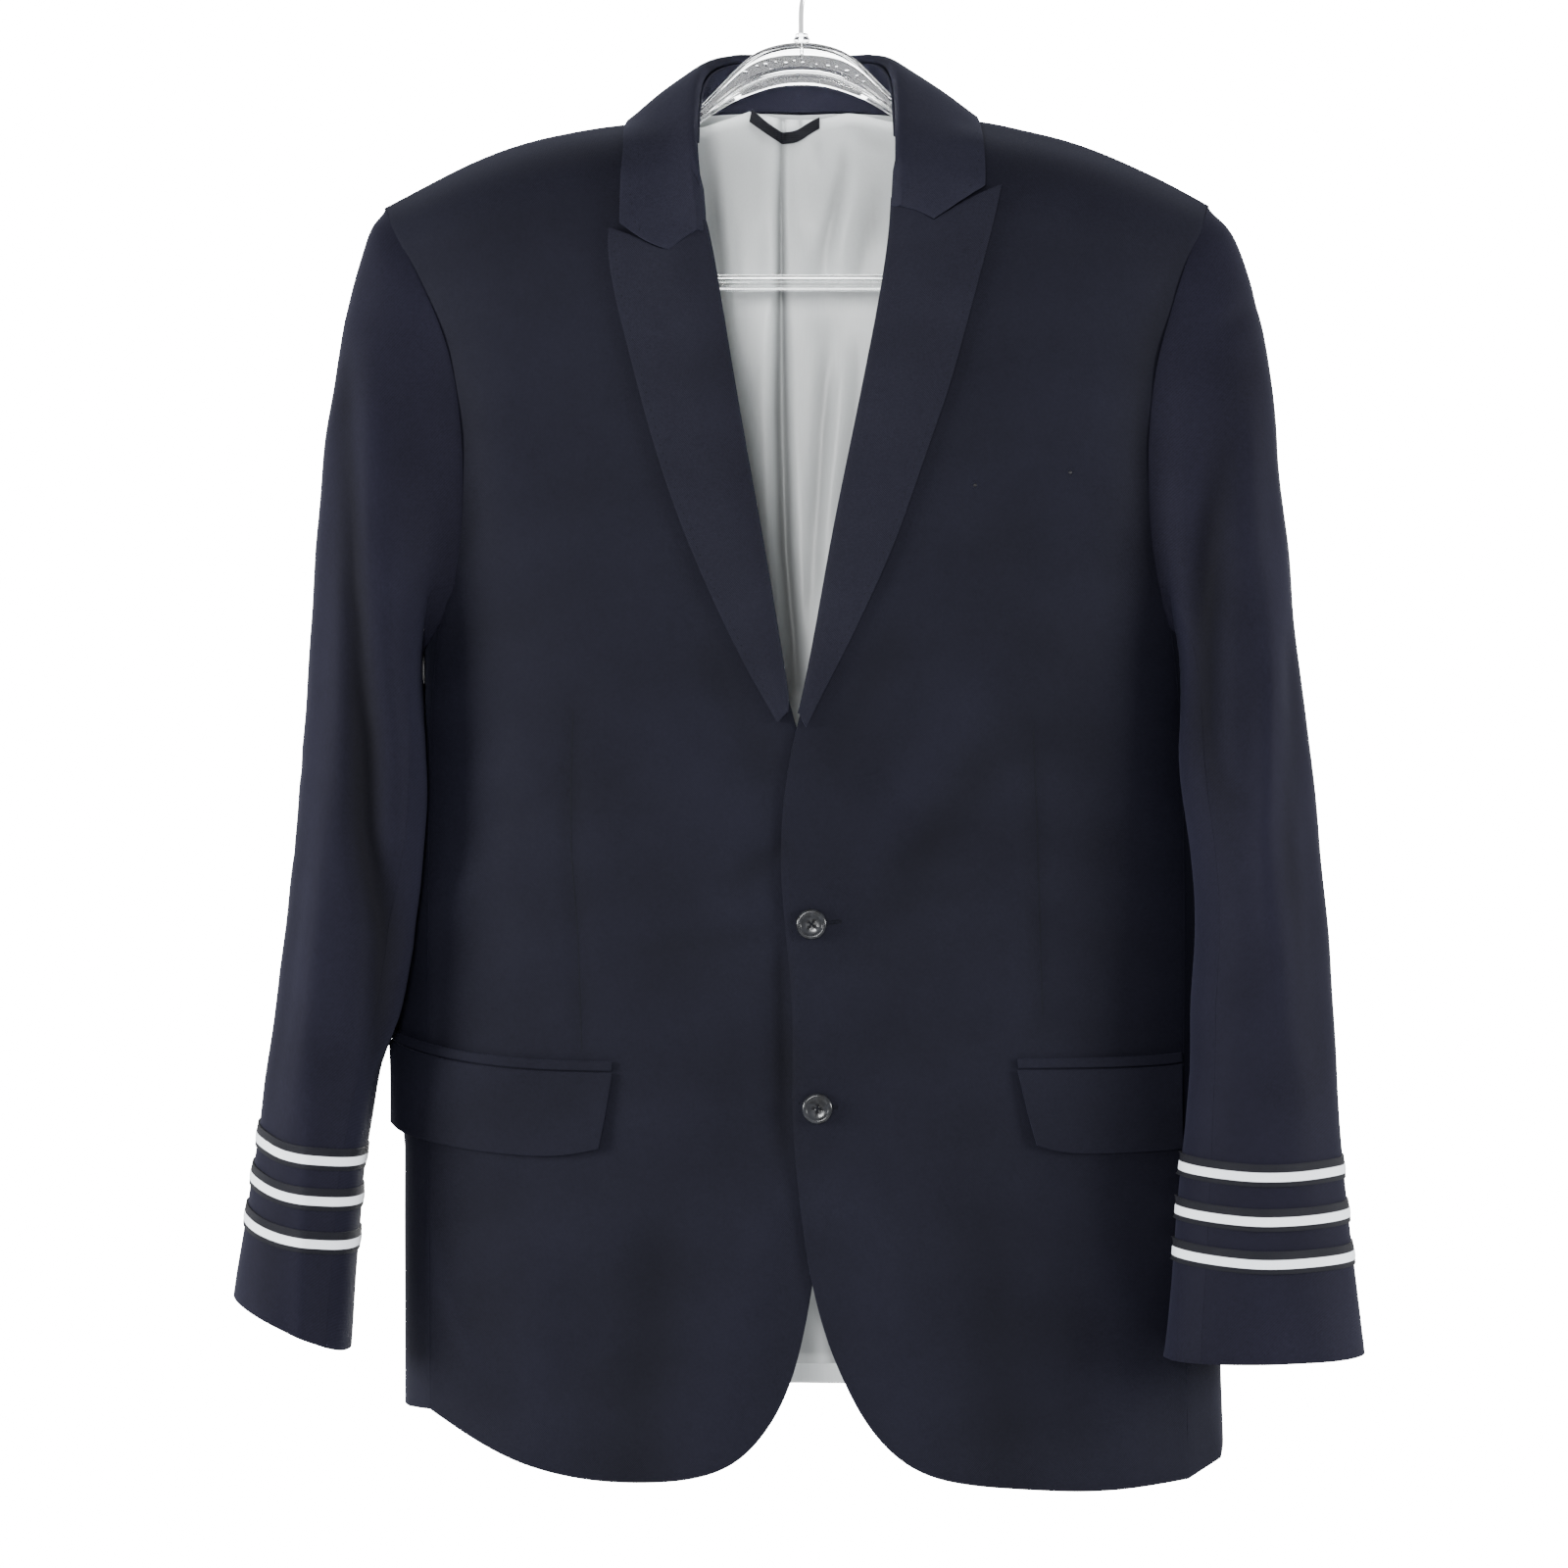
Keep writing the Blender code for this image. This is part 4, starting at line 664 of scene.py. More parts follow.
def backMoves(places):
    # The back's own folds, straight away from the viewer.
    share = np.clip((places[:, 1] - 0.018) / 0.03, 0, 1)
    flat = np.stack([places[:, 0], places[:, 2]], 1) / mm
    move = (foldField(flat, backFolds) + uneven(places, 0.11, 2.0) * 0.0009) * share
    result = np.zeros_like(places)
    result[:, 1] = move
    return result


def sleeveFold(places, way, folds, back):
    # How far the folds of a sleeve stand out, in front and behind.
    front = np.clip((-way[:, 1] - 0.05) / 0.35, 0, 1)
    behind = np.clip((way[:, 1] - 0.05) / 0.35, 0, 1)
    head = np.clip((-0.185 - places[:, 2]) / 0.05, 0, 1)
    flat = np.stack([places[:, 0], places[:, 2]], 1) / mm
    move = foldField(sightPlaces(places), folds) * front + foldField(flat, back) * behind
    move += uneven(places, 0.07, 4.0) * 0.0005 * np.maximum(front, behind)
    return move * head


def sleeveMoves(places, middle, folds, back, side):
    # Folds push a sleeve out from its middle line; its inner edge leans on the trunk.
    way = sleeveWay(places, middle)
    inward = 1 if side == "right" else -1
    lean = np.interp(places[:, 2], *zip(*sleeveLean[side])) * mm
    lean *= np.clip((way[:, 0] * inward + 0.1) / 0.8, 0, 1)
    result = way * sleeveFold(places, way, folds, back)[:, None]
    result[:, 0] += inward * lean
    return result


# Finished cloth pieces

dressed = {}


def settle(piece, node, materials):
    # Gives a finished cloth piece its materials, hangs it from the root and hides the solid it stands for.
    for material in materials:
        piece.data.materials.append(material)
    if len(materials) == 1:
        piece.data.polygons.foreach_set("material_index", np.zeros(len(piece.data.polygons), np.int32))
    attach(piece, "root")
    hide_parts(node)
    dressed[node] = piece


pocketShare = 0.55
flapTuck = {"rise": 0.0006, "from": 0.030, "over": 0.012}
# Fold depth at which the trunk's painted shade and highlight are full.
trunkShadeDepth = 3.5
trunkKinds = {
    "front": (3, "navy_wool", 0.0005), "side": (2, "navy_wool", 0.0004), "back": (3, "navy_wool", 0.0004),
    "lapel": (3, "collar_wool", 0.0005), "flap": (3, "navy_wool", 0.0005), "jet": (2, "navy_wool", 0.0004),
}
for kind, side in product(trunkKinds, ("left", "right")):
    node = f"{kind}_{side}"
    levels, slot, roll = trunkKinds[kind]
    pocket = kind in ("flap", "jet")
    piece = finePiece(kind + side.title(), mergedCopy(node, 0 if pocket else wallEdge["spread"]), levels)
    places = getPlaces(piece.data)
    moved = places + frontMoves(places) + backMoves(places)
    moved += sideMoves(places) * (pocketShare if pocket else 1.0)
    if kind == "lapel":
        moved += cornerMoves(places)
    if kind == "flap":
        # The flap's top edge tucks up under the jet.
        top = places[:, 2].max()
        moved[:, 2] += flapTuck["rise"] * np.clip((places[:, 2] - top + flapTuck["from"]) / flapTuck["over"], 0, 1)
    setPlaces(piece.data, moved)
    # Painted shade in the hollows of the folds, painted highlight on their ridges.
    paintShade(piece, backMoves(places)[:, 1] - frontMoves(places)[:, 1], trunkShadeDepth)
    looks = [collarWool if kind == "lapel" else wool]
    if kind in ("front", "back", "side"):
        markInside(piece.data, bodyWay)
        looks.append(facingWool if kind == "front" else satin)
    softenRims(piece, roll)
    settle(piece, node, looks)
print("trunk dressed")

collarPaintedLight = 0.001
for node, name, levels in (("collar", "collar", 3), ("collar_stand", "collarStand", 2)):
    piece = finePiece(name, mergedCopy(node), levels)
    places = getPlaces(piece.data)
    moves = frontMoves(places) * np.clip((-0.03 - places[:, 1:2]) / 0.03, 0, 1)
    if node == "collar":
        moves -= cornerMoves(places)
    setPlaces(piece.data, places + moves)
    # Painted light: the whole collar is made evenly paler through the painted-shade attribute.
    paintShade(piece, np.full(len(places), collarPaintedLight), 1.0)
    softenRims(piece, 0.0003)
    settle(piece, node, [collarWool])
print("collar dressed")


# Lining of the back: held off the back so its folds have room, then folded

liningRoom = {"middle": 2.0, "reach": 150.0, "fade": 60.0, "bottom": -560.0, "out": 6.0, "cornerForward": 0.014,
              "cornerLift": 0.009, "pleat": (-0.045, 0.030), "hemShade": 0.0035, "paintShade": 4.0}


def liningMoves(places):
    # Room for the folds over the part that shows, then the folds.
    flat = sightPlaces(places)
    share = np.clip((liningRoom["reach"] - np.abs(flat[:, 0] - liningRoom["middle"])) / liningRoom["fade"], 0, 1)
    share *= np.clip((flat[:, 1] - liningRoom["bottom"]) / liningRoom["fade"] + 1, 0, 1)
    share = share * share * (3 - 2 * share)
    out = (liningRoom["out"] * mm + uneven(places, 0.045, 6.0) * 0.0009) * share
    out += foldField(flat, liningFolds)
    result = backMoves(places)
    result[:, 1] -= out
    wide = np.clip((np.abs(places[:, 0]) - 0.012) / 0.055, 0, 1)
    near = np.clip((0.105 - np.abs(places[:, 0])) / 0.025, 0, 1)
    lift = wide * near * np.clip((places[:, 2] + 0.185) / 0.05, 0, 1)
    result[:, 1] -= liningRoom["cornerForward"] * lift
    result[:, 2] += liningRoom["cornerLift"] * lift
    return result


def isLevel(edge):
    run = edge.verts[0].co - edge.verts[1].co
    return abs(run.x) > abs(run.z)


bm = mergedCopy("lining_back", 0)
low, high = liningRoom["pleat"]
nearPleat = [edge for edge in bm.edges if any(low < vert.co.x < high for vert in edge.verts) and isLevel(edge)]
bmesh.ops.subdivide_edges(bm, edges=nearPleat, cuts=3, use_grid_fill=True)
piece = finePiece("backLining", bm, 3)
places = getPlaces(piece.data)
# Painted shade: the lining is darkened in the hollows of its folds and towards the hem, and made paler on the ridges.
hemShade = np.clip((-0.74 - places[:, 2]) / 0.05, 0, 1) * liningRoom["hemShade"]
paintShade(piece, foldField(sightPlaces(places), liningFolds) - hemShade, liningRoom["paintShade"])
setPlaces(piece.data, places + liningMoves(places))
settle(piece, "lining_back", [satin])
print("lining folded")

loopShift = np.array([0, -0.0012, 0.003])
piece = finePiece("neckLoop", mergedCopy("neck_loop"), 3)
places = getPlaces(piece.data)
setPlaces(piece.data, places + liningMoves(places) + loopShift)
softenRims(piece, 0.0003)
settle(piece, "neck_loop", [tape])


# Sleeves and their braid

# Fold depth at which the sleeves' painted shade and highlight are full.
sleeveShadeDepth = 6.5
braidRows = (0.0, 0.0, 0.5, 0.5, 1.0, 1.0)
braidSeat = {"sink": 0.0009, "raised": 0.00025, "edge": 0.04}


def braidColumns(bm):
    # Tells each point how far down and how far round the band it lies.
    across = bm.verts.layers.float.new("acrossBand")
    around = bm.verts.layers.float.new("aroundBand")
    middleX = sum(v.co.x for v in bm.verts) / len(bm.verts)
    middleY = sum(v.co.y for v in bm.verts) / len(bm.verts)
    columns = sorted(bm.verts, key=lambda v: np.arctan2(v.co.y - middleY, v.co.x - middleX))
    for start in range(0, len(columns), len(braidRows)):
        column = sorted(columns[start:start + len(braidRows)], key=lambda v: -v.co.z)
        for place, vert in enumerate(column):
            vert[across] = braidRows[place]
            vert[around] = start / len(braidRows)


for side, folds in (("left", leftSleeveFolds), ("right", rightSleeveFolds)):
    middle = sleeveMiddle(side)
    for kind in ("top", "under"):
        node = f"{kind}_sleeve_{side}"
        piece = finePiece(f"{kind}Sleeve{side.title()}", mergedCopy(node), 3)
        places = getPlaces(piece.data)
        setPlaces(piece.data, places + sleeveMoves(places, middle, folds, sleeveBackFolds[side], side))
        # Painted shade in the hollows of the sleeve folds, painted highlight on their ridges.
        paintShade(piece, sleeveFold(places, sleeveWay(places, middle), folds, sleeveBackFolds[side]), sleeveShadeDepth)
        markInside(piece.data, lambda centres: sleeveWay(centres, middle))
        softenRims(piece, 0.0004)
        settle(piece, node, [sleeveWool, satin])
    for number in (1, 2, 3):
        node = f"braid_{side}_{number}"
        bm = mergedCopy(node, 0)
        braidColumns(bm)
        piece = finePiece(f"braid{side.title()}{number}", bm, 3)
        places = getPlaces(piece.data)
        moved = places + sleeveMoves(places, middle, folds, sleeveBackFolds[side], side)
        values = np.empty(len(places))
        piece.data.attributes["acrossBand"].data.foreach_get("value", values)
        raised = np.clip((values - braidLook["laceTop"]) / braidSeat["edge"], 0, 1)
        raised *= np.clip((braidLook["laceBottom"] - values) / braidSeat["edge"], 0, 1)
        moved += sleeveWay(places, middle) * (raised * braidSeat["raised"] - braidSeat["sink"])[:, None]
        setPlaces(piece.data, moved)
        softenRims(piece, 0.0002)
        settle(piece, node, [braidCloth])
print("sleeves dressed")


# Small sewn parts

def addPiece(name, mesh, materials):
    mesh.polygons.foreach_set("use_smooth", np.ones(len(mesh.polygons), bool))
    for material in materials:
        mesh.materials.append(material)
    piece = linked(name, mesh)
    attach(piece, "root")
    return piece


def faceSpot(tree, u, v):
    # The nearest cloth on the sight line through a place, and the way it faces.
    target = Vector((u * mm, buttonPlane, v * mm))
    spot, normal, _, _ = tree.ray_cast(eye, (target - eye).normalized())
    return (spot, normal) if spot else None


def addStitch(bm, tree, place, way, size, sink=0.0):
    # One short thread lying on the cloth.
    found = faceSpot(tree, *place)
    if found is None:
        return
    spot, normal = found
    along = Vector((way[0], 0, way[1]))
    side = normal.cross(along).normalized()
    along = side.cross(normal)
    turn = Matrix((along, side, normal)).transposed().to_4x4()
    scale = Matrix.Diagonal((size[0] / 2, size[1] / 2, size[2] / 2, 1))
    place = Matrix.Translation(spot - normal * sink)
    bmesh.ops.create_icosphere(bm, subdivisions=1, radius=1, matrix=place @ turn @ scale)


def walk(path, step):
    # Even places along a line of (u, v) points, with the direction there.
    points = [Vector(p) for p in path]
    result = []
    carry = step / 2
    for a, b in zip(points, points[1:]):
        long = (b - a).length
        while carry <= long:
            result.append((a.lerp(b, carry / long), (b - a).normalized()))
            carry += step
        carry -= long
    return result


view = bpy.context.evaluated_depsgraph_get()
trees = {node: BVHTree.FromObject(dressed[node], view) for node in
         ("front_left", "front_right", "lapel_left", "lapel_right", "collar")}

pickStitch = {"step": 5.2, "size": (0.0017, 0.0006, 0.0004), "sink": 0.00005}
pickLines = {
    "pickLapelRight": ("lapel_right", [(-85, -210.5), (-97.5, -203.8), (-107.2, -199.8), (-107.6, -209),
                                       (-103.8, -232.5), (-96, -263.9), (-88.8, -292.6), (-81.5, -319.1),
                                       (-72.1, -348.2), (-60.4, -379), (-46.6, -410.6), (-30.4, -444.2),
                                       (-18.4, -465)]),
    "pickLapelLeft": ("lapel_left", [(88.6, -188), (102.5, -180.2), (110.8, -175.6), (106.6, -191.4), (97.7, -225.1),
                                     (89.3, -256.6), (82, -283.4), (73, -309), (63, -337.6), (50.8, -373.6),
                                     (36.2, -406), (22.4, -435.4), (10, -459)]),
    "pickCollarRight": ("collar", [(-92, -198.6), (-96.6, -190), (-98.6, -176), (-98.4, -160), (-98, -144)]),
    "pickCollarLeft": ("collar", [(92, -177), (99.4, -168), (101.8, -157), (101.2, -146), (100.6, -138)]),
    "pickFrontEdge": ("front_left", [(-3.2, -489), (-8, -506), (-9.6, -523), (-7.6, -560), (-5.4, -600), (-1.6, -640),
                                     (-1.4, -720), (-1, -760), (5, -800), (13, -832), (25, -855)]),
}
for name, (node, path) in pickLines.items():
    bm = bmesh.new()
    for place, way in walk(path, pickStitch["step"]):
        addStitch(bm, trees[node], place, way, pickStitch["size"], pickStitch["sink"])
    addPiece(name, toMesh(name, bm), [thread])

darts = {
    "dartLeft": ("front_right", [(-131.2, -470), (-132.4, -514), (-132.3, -555), (-128.4, -602), (-126.2, -668)]),
    "dartRight": ("front_left", [(132.9, -482), (134.6, -520), (135.8, -556), (137.4, -610), (138.6, -651)]),
}


def seamCord(name, path, tree, width, sink):
    # A pressed seam shows as a fine rolled line.
    curve = bpy.data.curves.new(name, "CURVE")
    curve.dimensions = "3D"
    curve.bevel_depth = width / 2
    curve.bevel_resolution = 1
    curve.use_fill_caps = True
    spots = []
    for place, _ in walk(path, 4):
        found = faceSpot(tree, *place)
        if found:
            spots.append(found[0] - found[1] * sink)
    spline = curve.splines.new("POLY")
    spline.points.add(len(spots) - 1)
    for point, spot in zip(spline.points, spots):
        point.co = (*spot, 1)
    rough = linked(name + "Line", curve)
    mesh = worked(rough)
    bpy.data.objects.remove(rough)
    bpy.data.curves.remove(curve)
    mesh.name = name
    mesh.materials.clear()
    addPiece(name, mesh, [thread])


dartSeam = {"width": 0.0007, "sink": 0.00022}
for name, (node, path) in darts.items():
    seamCord(name, path, trees[node], dartSeam["width"], dartSeam["sink"])

outerFront = trees["front_left"]
buttonholes = {"buttonholeUpper": [(7, -595.6), (22.4, -594.0)], "buttonholeLower": [(10.4, -701.6), (20.6, -700.6)]}
holeStitch = {"step": 0.62, "apart": 0.75, "size": (0.0013, 0.0006, 0.0005), "endSize": (0.0012, 0.0006, 0.0005),
              "endOut": 0.3, "endApart": 0.6}
for name, path in buttonholes.items():
    bm = bmesh.new()
    for shift in (-holeStitch["apart"], holeStitch["apart"]):
        for place, way in walk([(u, v + shift) for u, v in path], holeStitch["step"]):
            addStitch(bm, outerFront, place, (-way.y, way.x), holeStitch["size"])
    u, v = path[1]
    for shift in (-holeStitch["endApart"], 0, holeStitch["endApart"]):
        addStitch(bm, outerFront, (u + holeStitch["endOut"], v + shift), (1, 0), holeStitch["endSize"])
    addPiece(name, toMesh(name, bm), [thread])

eyelets = {"badgeEyeletInner": (99.7, -343.3), "badgeEyeletOuter": (154.3, -336.0)}
eyeletStitch = {"count": 22, "out": 1.9, "size": (0.0015, 0.0007, 0.0006), "hole": (0.0024, 0.0024, 0.0004)}
for name, (u, v) in eyelets.items():
    bm = bmesh.new()
    for k in range(eyeletStitch["count"]):
        turn = 2 * pi * k / eyeletStitch["count"]
        place = (u + eyeletStitch["out"] * cos(turn), v + eyeletStitch["out"] * sin(turn))
        addStitch(bm, outerFront, place, (cos(turn), sin(turn)), eyeletStitch["size"])
    addPiece(name, toMesh(name, bm), [collarWool])
    # Painted shade: a flat dark disc lies where the eyelet's hole is.
    bm = bmesh.new()
    addStitch(bm, outerFront, (u, v), (1, 0), eyeletStitch["hole"])
    addPiece(name + "Hole", toMesh(name + "Hole", bm), [holeShade])
print("sewing done")


# Buttons: turned resin with four holes and crossed thread

buttonShape = {
    "profile": [(0, 0.0), (7.6, 0.0), (8.6, 0.4), (8.9, 1.2), (8.8, 2.1), (8.3, 2.9), (7.5, 3.3), (6.7, 3.2),
                (6.2, 2.75), (5.4, 2.45), (3.0, 2.3), (0, 2.3)],
    "turns": 64, "hole": 0.95, "apart": 1.55, "edge": 0.00012, "threadRise": 0.0024, "threadShifts": (-0.3, 0.0, 0.3),
}


def makeButton(number, tilt):
    low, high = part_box(f"button_{number}")
    move = frontMoves(np.array([[(low.x + high.x) / 2, low.y, (low.z + high.z) / 2]]))[0]
    back = Vector(((low.x + high.x) / 2, high.y + move[1], (low.z + high.z) / 2))
    bm = bmesh.new()
    first = [bm.verts.new((r * mm, 0, z * mm)) for r, z in buttonShape["profile"]]
    edges = [bm.edges.new(pair) for pair in zip(first, first[1:])]
    bmesh.ops.spin(bm, geom=first + edges, axis=(0, 0, 1), cent=(0, 0, 0), steps=buttonShape["turns"],
                   angle=2 * pi, use_merge=True)
    bmesh.ops.remove_doubles(bm, verts=bm.verts, dist=0.00001)
    bmesh.ops.recalc_face_normals(bm, faces=bm.faces)
    turn = Matrix.Rotation(pi / 2, 4, "X") @ Matrix.Rotation(radians(tilt), 4, "Z")
    place = Matrix.Translation(back) @ turn
    bmesh.ops.transform(bm, matrix=place, verts=bm.verts)
    piece = addPiece(f"button{number}", toMesh(f"button{number}", bm), [buttonResin, holeShade])
    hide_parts(f"button_{number}")
    cutter = bmesh.new()
    corners = [(sx * buttonShape["apart"], sy * buttonShape["apart"]) for sx in (-1, 1) for sy in (-1, 1)]
    for x, y in corners:
        spot = Matrix.Translation((x * mm, y * mm, 0.0028))
        bmesh.ops.create_cone(cutter, cap_ends=True, segments=20, radius1=buttonShape["hole"] * mm,
                              radius2=buttonShape["hole"] * 1.15 * mm, depth=0.0032, matrix=place @ spot)
    drill = toMesh("drill", cutter)
    drill.materials.append(holeShade)
    tool = linked("drill", drill)
    holes = piece.modifiers.new("holes", "BOOLEAN")
    holes.operation = "DIFFERENCE"
    holes.solver = "EXACT"
    holes.object = tool
    holes.material_mode = "TRANSFER"
    fine = worked(piece)
    piece.modifiers.clear()
    piece.data = fine
    bpy.data.objects.remove(tool)
    softenRims(piece, buttonShape["edge"], 45)
    bm = bmesh.new()
    rise = buttonShape["threadRise"]
    for a, b in ((0, 3), (1, 2)):
        start = Vector((corners[a][0] * mm, corners[a][1] * mm, rise))
        end = Vector((corners[b][0] * mm, corners[b][1] * mm, rise))
        for shift in buttonShape["threadShifts"]:
            side = (end - start).cross(Vector((0, 0, 1))).normalized() * shift * mm
            middle = (start + end) / 2 + side + Vector((0, 0, 0.0003 if a == 0 else 0.0001))
            along = (end - start).normalized()
            size = Matrix.Diagonal(((end - start).length * 0.56, 0.00022, 0.00034, 1))
            axes = Matrix((along, Vector((0, 0, 1)).cross(along), Vector((0, 0, 1)))).transposed().to_4x4()
            spot = place @ Matrix.Translation(middle) @ axes @ size
            bmesh.ops.create_icosphere(bm, subdivisions=2, radius=1, matrix=spot)
    addPiece(f"buttonThread{number}", toMesh(f"buttonThread{number}", bm), [thread])


makeButton(1, 8)
makeButton(2, 40)
print("buttons turned")


# Hanger: a clear arch with flanged edges, its bar, cap and wire hook

hangerStations = [(0, -88.0, 12.5, 7.0), (8, -88.3, 12.4, 7.0), (15, -89.5, 12.2, 7.0), (22, -91.3, 12.1, 7.0),
                  (30, -94.8, 11.4, 7.0), (38, -100.0, 9.4, 6.7), (47, -107.3, 7.2, 6.3), (57, -116.0, 5.2, 6.0),
                  (66, -124.0, 4.8, 6.0), (75, -129.4, 4.8, 7.0), (90, -133.6, 6.4, 9.0), (110, -139.5, 8.2, 11.0),
                  (130, -145.5, 9.6, 12.8), (150, -152.2, 10.8, 14.5), (170, -160.6, 11.2, 15.6),
                  (190, -169.9, 11.4, 16.5), (214, -181.3, 11.0, 16.5)]
archShape = {"pinch": 0.45, "ridges": (-0.62, -0.30), "ridgesWithin": 50, "points": 64}
barShape = {"high": 5.2, "thick": 3.2, "pinch": 0.78, "ridges": (-0.25, 0.25), "points": 48, "level": -218}
capStations = ((-76.0, 5.2), (-73.4, 5.2), (-73.0, 4.0), (-70.6, 4.0), (-70.2, 3.2))
hookSlot = {"x": 0.4, "z": -81.5, "radius": 1.3, "depth": 9.0}
bubbles = [(-33, -93.0, 1.2), (-26, -89.6, 0.8), (-21, -88.4, 1.0), (-15, -87.2, 0.6), (-9, -87.6, 0.9),
           (-4, -86.4, 0.7), (1, -87.4, 0.8), (9, -88.6, 0.6), (16, -89.4, 0.9), (21, -90.0, 0.7), (27, -92.4, 1.1),
           (33, -95.4, 0.8), (-18, -91.6, 0.5), (6, -90.6, 0.5), (24, -94.6, 0.6), (37, -98.8, 0.7)]


def ringAt(bm, centre, along, up, section):
    # One cross-section of a moulding: a circle shaped and turned to its place.
    made = bmesh.ops.create_circle(bm, segments=len(section), radius=1.0)["verts"]
    side = along.cross(up).normalized()
    for vert, (s, t) in zip(made, section):
        vert.co = centre + side * s + up * t
    edges = {edge for vert in made for edge in vert.link_edges}
    return list(edges)


def flanged(half, wide, pinch, ridges=(), count=28):
    # Rounded section, thinner between its two edges, with raised lines along its front.
    section = []
    for k in range(count):
        turn = 2 * pi * (k + 0.5) / count
        c, s = cos(turn), sin(turn)
        height = abs(s) ** 0.8 * (1 if s > 0 else -1)
        depth = abs(c) ** 0.8 * (1 if c > 0 else -1)
        depth *= 1 - pinch * max(0, 1 - (height / 0.78) ** 6)
        depth += 0.22 * sum(exp(-((height - line) / 0.06) ** 2) for line in ridges) * (1 if depth > 0 else -1)
        section.append((wide * depth * mm, half * height * mm))
    return section


def loft(bm, rings):
    for first, second in zip(rings, rings[1:]):
        bmesh.ops.bridge_loops(bm, edges=first + second)
    bmesh.ops.holes_fill(bm, edges=rings[0] + rings[-1], sides=0)


def hollow(bm, made, x, z):
    # Moves a closed form to its place and turns it inside out.
    bmesh.ops.translate(bm, verts=made, vec=(x * mm, 0, z * mm))
    bmesh.ops.reverse_faces(bm, faces=list({face for vert in made for face in vert.link_faces}))


bm = bmesh.new()
rings = []
for x, z, half, wide in [(-x, *sizes) for x, *sizes in reversed(hangerStations[1:])] + hangerStations:
    ridges = archShape["ridges"] if abs(x) < archShape["ridgesWithin"] else ()
    rings.append(ringAt(bm, Vector((x * mm, 0, z * mm)), Vector((1, 0, 0)), Vector((0, 0, 1)),
                        flanged(half, wide, archShape["pinch"], ridges, archShape["points"])))
loft(bm, rings)
loft(bm, [ringAt(bm, Vector((hookSlot["x"] * mm, 0, z * mm)), Vector((0, 0, 1)), Vector((1, 0, 0)),
                 flanged(wide, wide * 0.8, 0.0)) for z, wide in capStations])
legs = [(172, -160), (172, -204), (168, -214), (158, barShape["level"])]
barPath = [(-x, z) for x, z in legs] + [(x, barShape["level"]) for x in (-80, 0, 80)] + legs[::-1]
barSection = flanged(barShape["high"], barShape["thick"], barShape["pinch"], barShape["ridges"], barShape["points"])
rings = []
for i, (x, z) in enumerate(barPath):
    ahead = barPath[min(i + 1, len(barPath) - 1)]
    behind = barPath[max(i - 1, 0)]
    along = Vector((ahead[0] - behind[0], 0, ahead[1] - behind[1])).normalized()
    up = Vector((0, -1, 0)).cross(along).normalized()
    rings.append(ringAt(bm, Vector((x * mm, 0, z * mm)), along, up, barSection))
loft(bm, rings)
bmesh.ops.recalc_face_normals(bm, faces=bm.faces)
for x, z, size in bubbles:
    made = bmesh.ops.create_icosphere(bm, subdivisions=1, radius=size * mm)["verts"]
    bmesh.ops.scale(bm, verts=made, vec=(1.7, 0.8, 0.7))
    hollow(bm, made, x, z)
made = bmesh.ops.create_cone(bm, cap_ends=True, segments=10, radius1=hookSlot["radius"] * mm,
                             radius2=hookSlot["radius"] * mm, depth=hookSlot["depth"] * mm)["verts"]
hollow(bm, made, hookSlot["x"], hookSlot["z"])
hanger = addPiece("clearHanger", toMesh("clearHanger", bm), [clearPlastic])
addCells(hanger, 2)
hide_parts("hanger_body")

hook = finePiece("wireHook", mergedCopy("hanger_hook"), 2)
hook.data.materials.append(hookSteel)
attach(hook, "root")
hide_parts("hanger_hook")
print("hanger made")


# Floor, light and camera

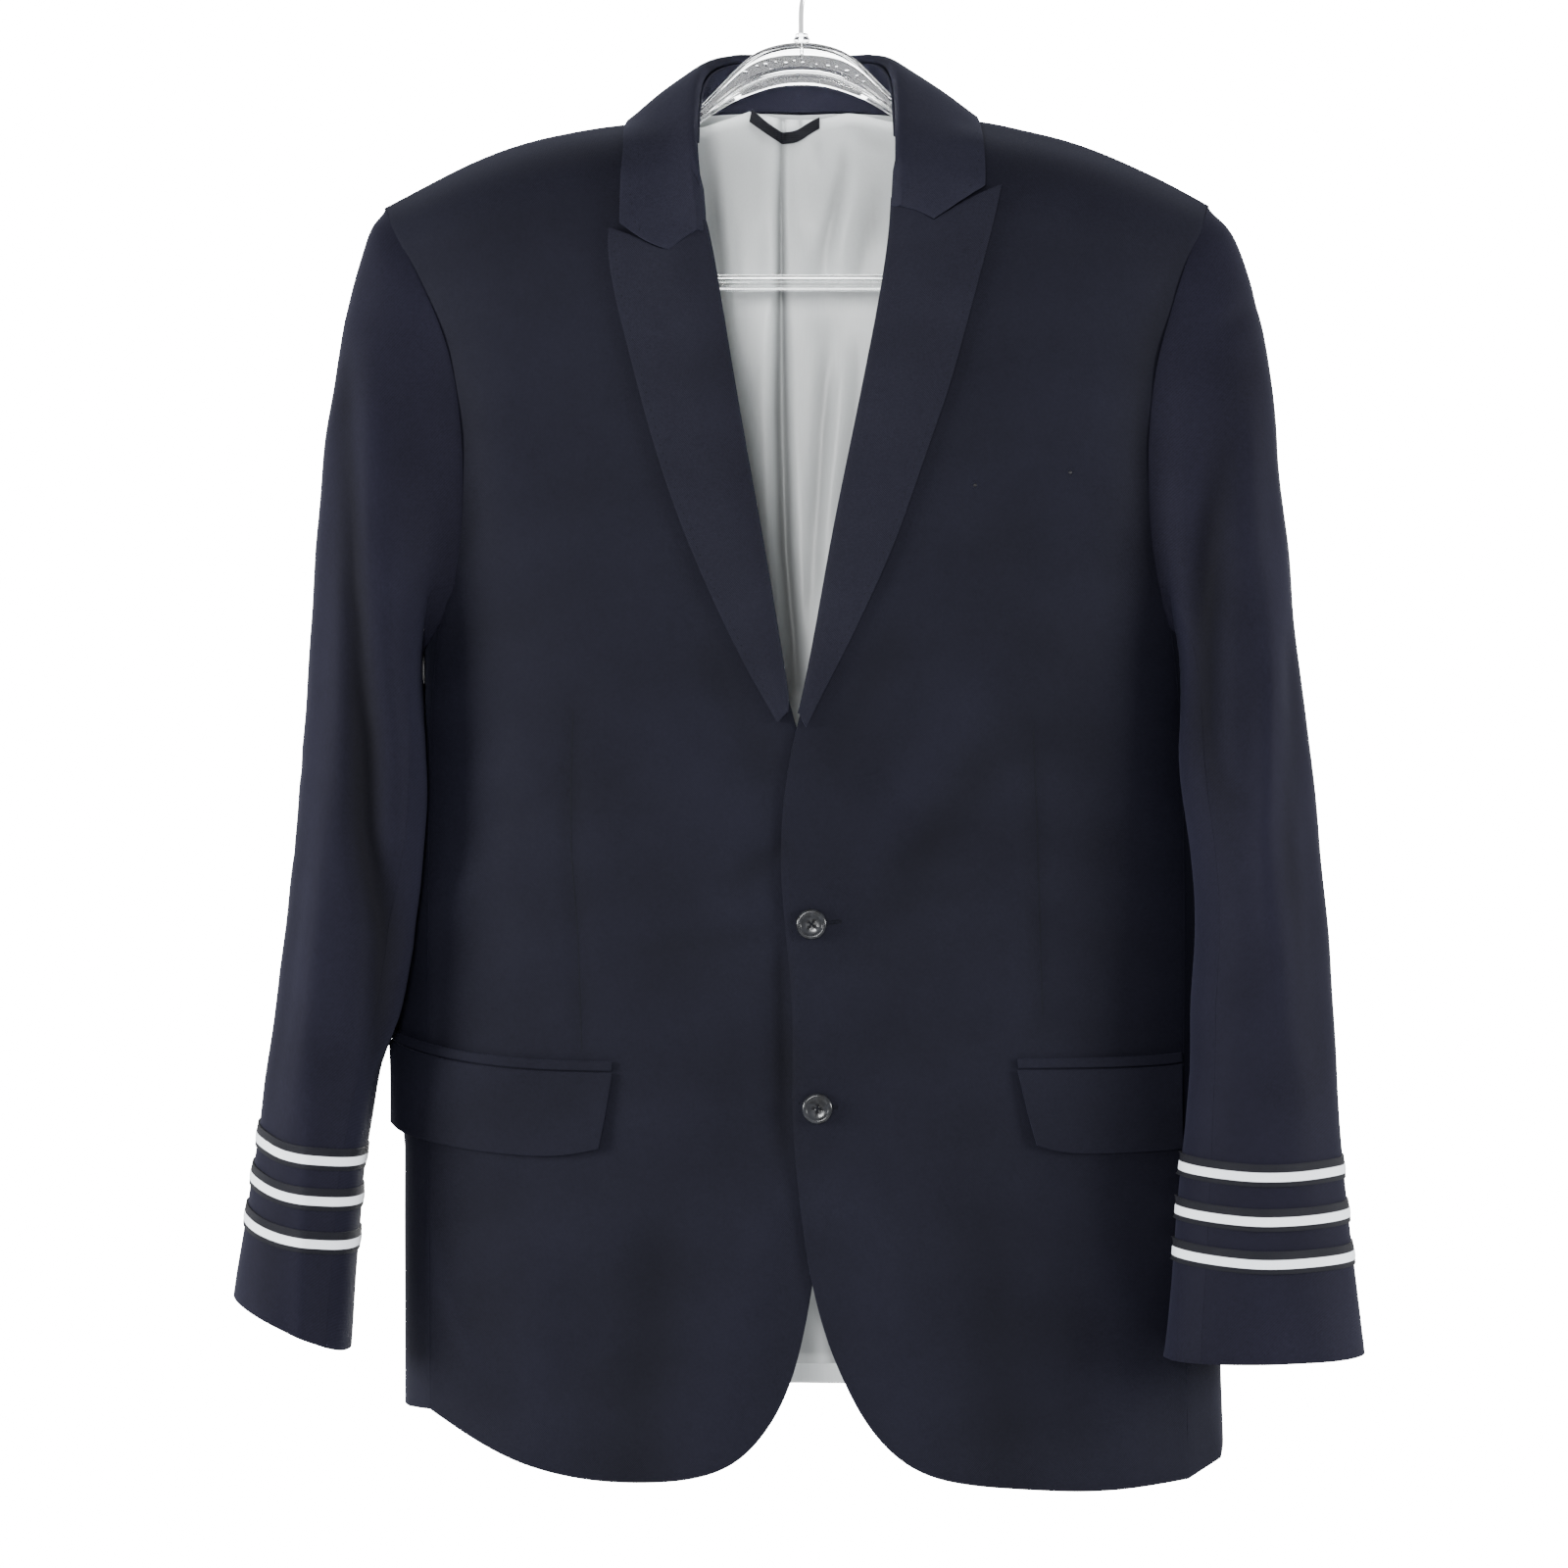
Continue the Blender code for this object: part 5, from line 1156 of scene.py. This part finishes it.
floorPlan = {"half": 2.5, "level": -1.62, "colour": (0.82, 0.83, 0.84, 1)}
bm = bmesh.new()
bmesh.ops.create_grid(bm, x_segments=4, y_segments=4, size=floorPlan["half"],
                      matrix=Matrix.Translation((0, 0, floorPlan["level"])))
floor = linked("paleFloor", toMesh("paleFloor", bm))
floor.data.materials.append(Paint("paleFloorPaint").finish(base=floorPlan["colour"], roughness=0.8))

# Lamps: power, place and size
lamps = {"front": (62.0, (-0.30, -2.6, -0.30), 0.5), "left": (112.0, (-2.1, -0.8, -0.30), 0.8),
         "right": (88.0, (2.1, -0.8, -0.35), 0.8), "behind": (60.0, (0.5, 2.4, -0.2), 1.6)}
studio = {"aim": Vector((0, 0, -0.5)), "seen": 18.0, "soft": 0.42, "glossy": 0.8}
world = bpy.context.scene.world or bpy.data.worlds.new("studio")
bpy.context.scene.world = world
world.use_nodes = True
nodes = world.node_tree.nodes
links = world.node_tree.links
sky = nodes["Background"]
sky.inputs["Color"].default_value = (1.0, 1.0, 1.0, 1)
path = nodes.new("ShaderNodeLightPath")
straight = addNode(nodes, "ShaderNodeMath", operation="MAXIMUM")
links.new(path.outputs["Is Camera Ray"], straight.inputs[0])
links.new(path.outputs["Is Transmission Ray"], straight.inputs[1])
wall = addNode(nodes, "ShaderNodeMath", [(1, studio["seen"]), (2, studio["soft"])], operation="MULTIPLY_ADD")
links.new(straight.outputs[0], wall.inputs[0])
shine = addNode(nodes, "ShaderNodeMath", [(1, studio["glossy"])], operation="MULTIPLY_ADD")
links.new(path.outputs["Is Glossy Ray"], shine.inputs[0])
links.new(wall.outputs[0], shine.inputs[2])
links.new(shine.outputs[0], sky.inputs["Strength"])
for name, (power, place, size) in lamps.items():
    lamp = bpy.data.lights.new(name + "Light", "AREA")
    lamp.energy = power
    lamp.shape = "DISK"
    lamp.size = size
    stand = linked(name + "Light", lamp)
    stand.location = place
    stand.rotation_euler = (studio["aim"] - Vector(place)).to_track_quat("-Z", "Y").to_euler()

view = bpy.data.cameras.new("photoCamera")
view.lens = 87.92
view.sensor_width = 36
camera = linked("photoCamera", view)
camera.location = eye
camera.rotation_euler = (pi / 2, 0, 0)
bpy.context.scene.camera = camera
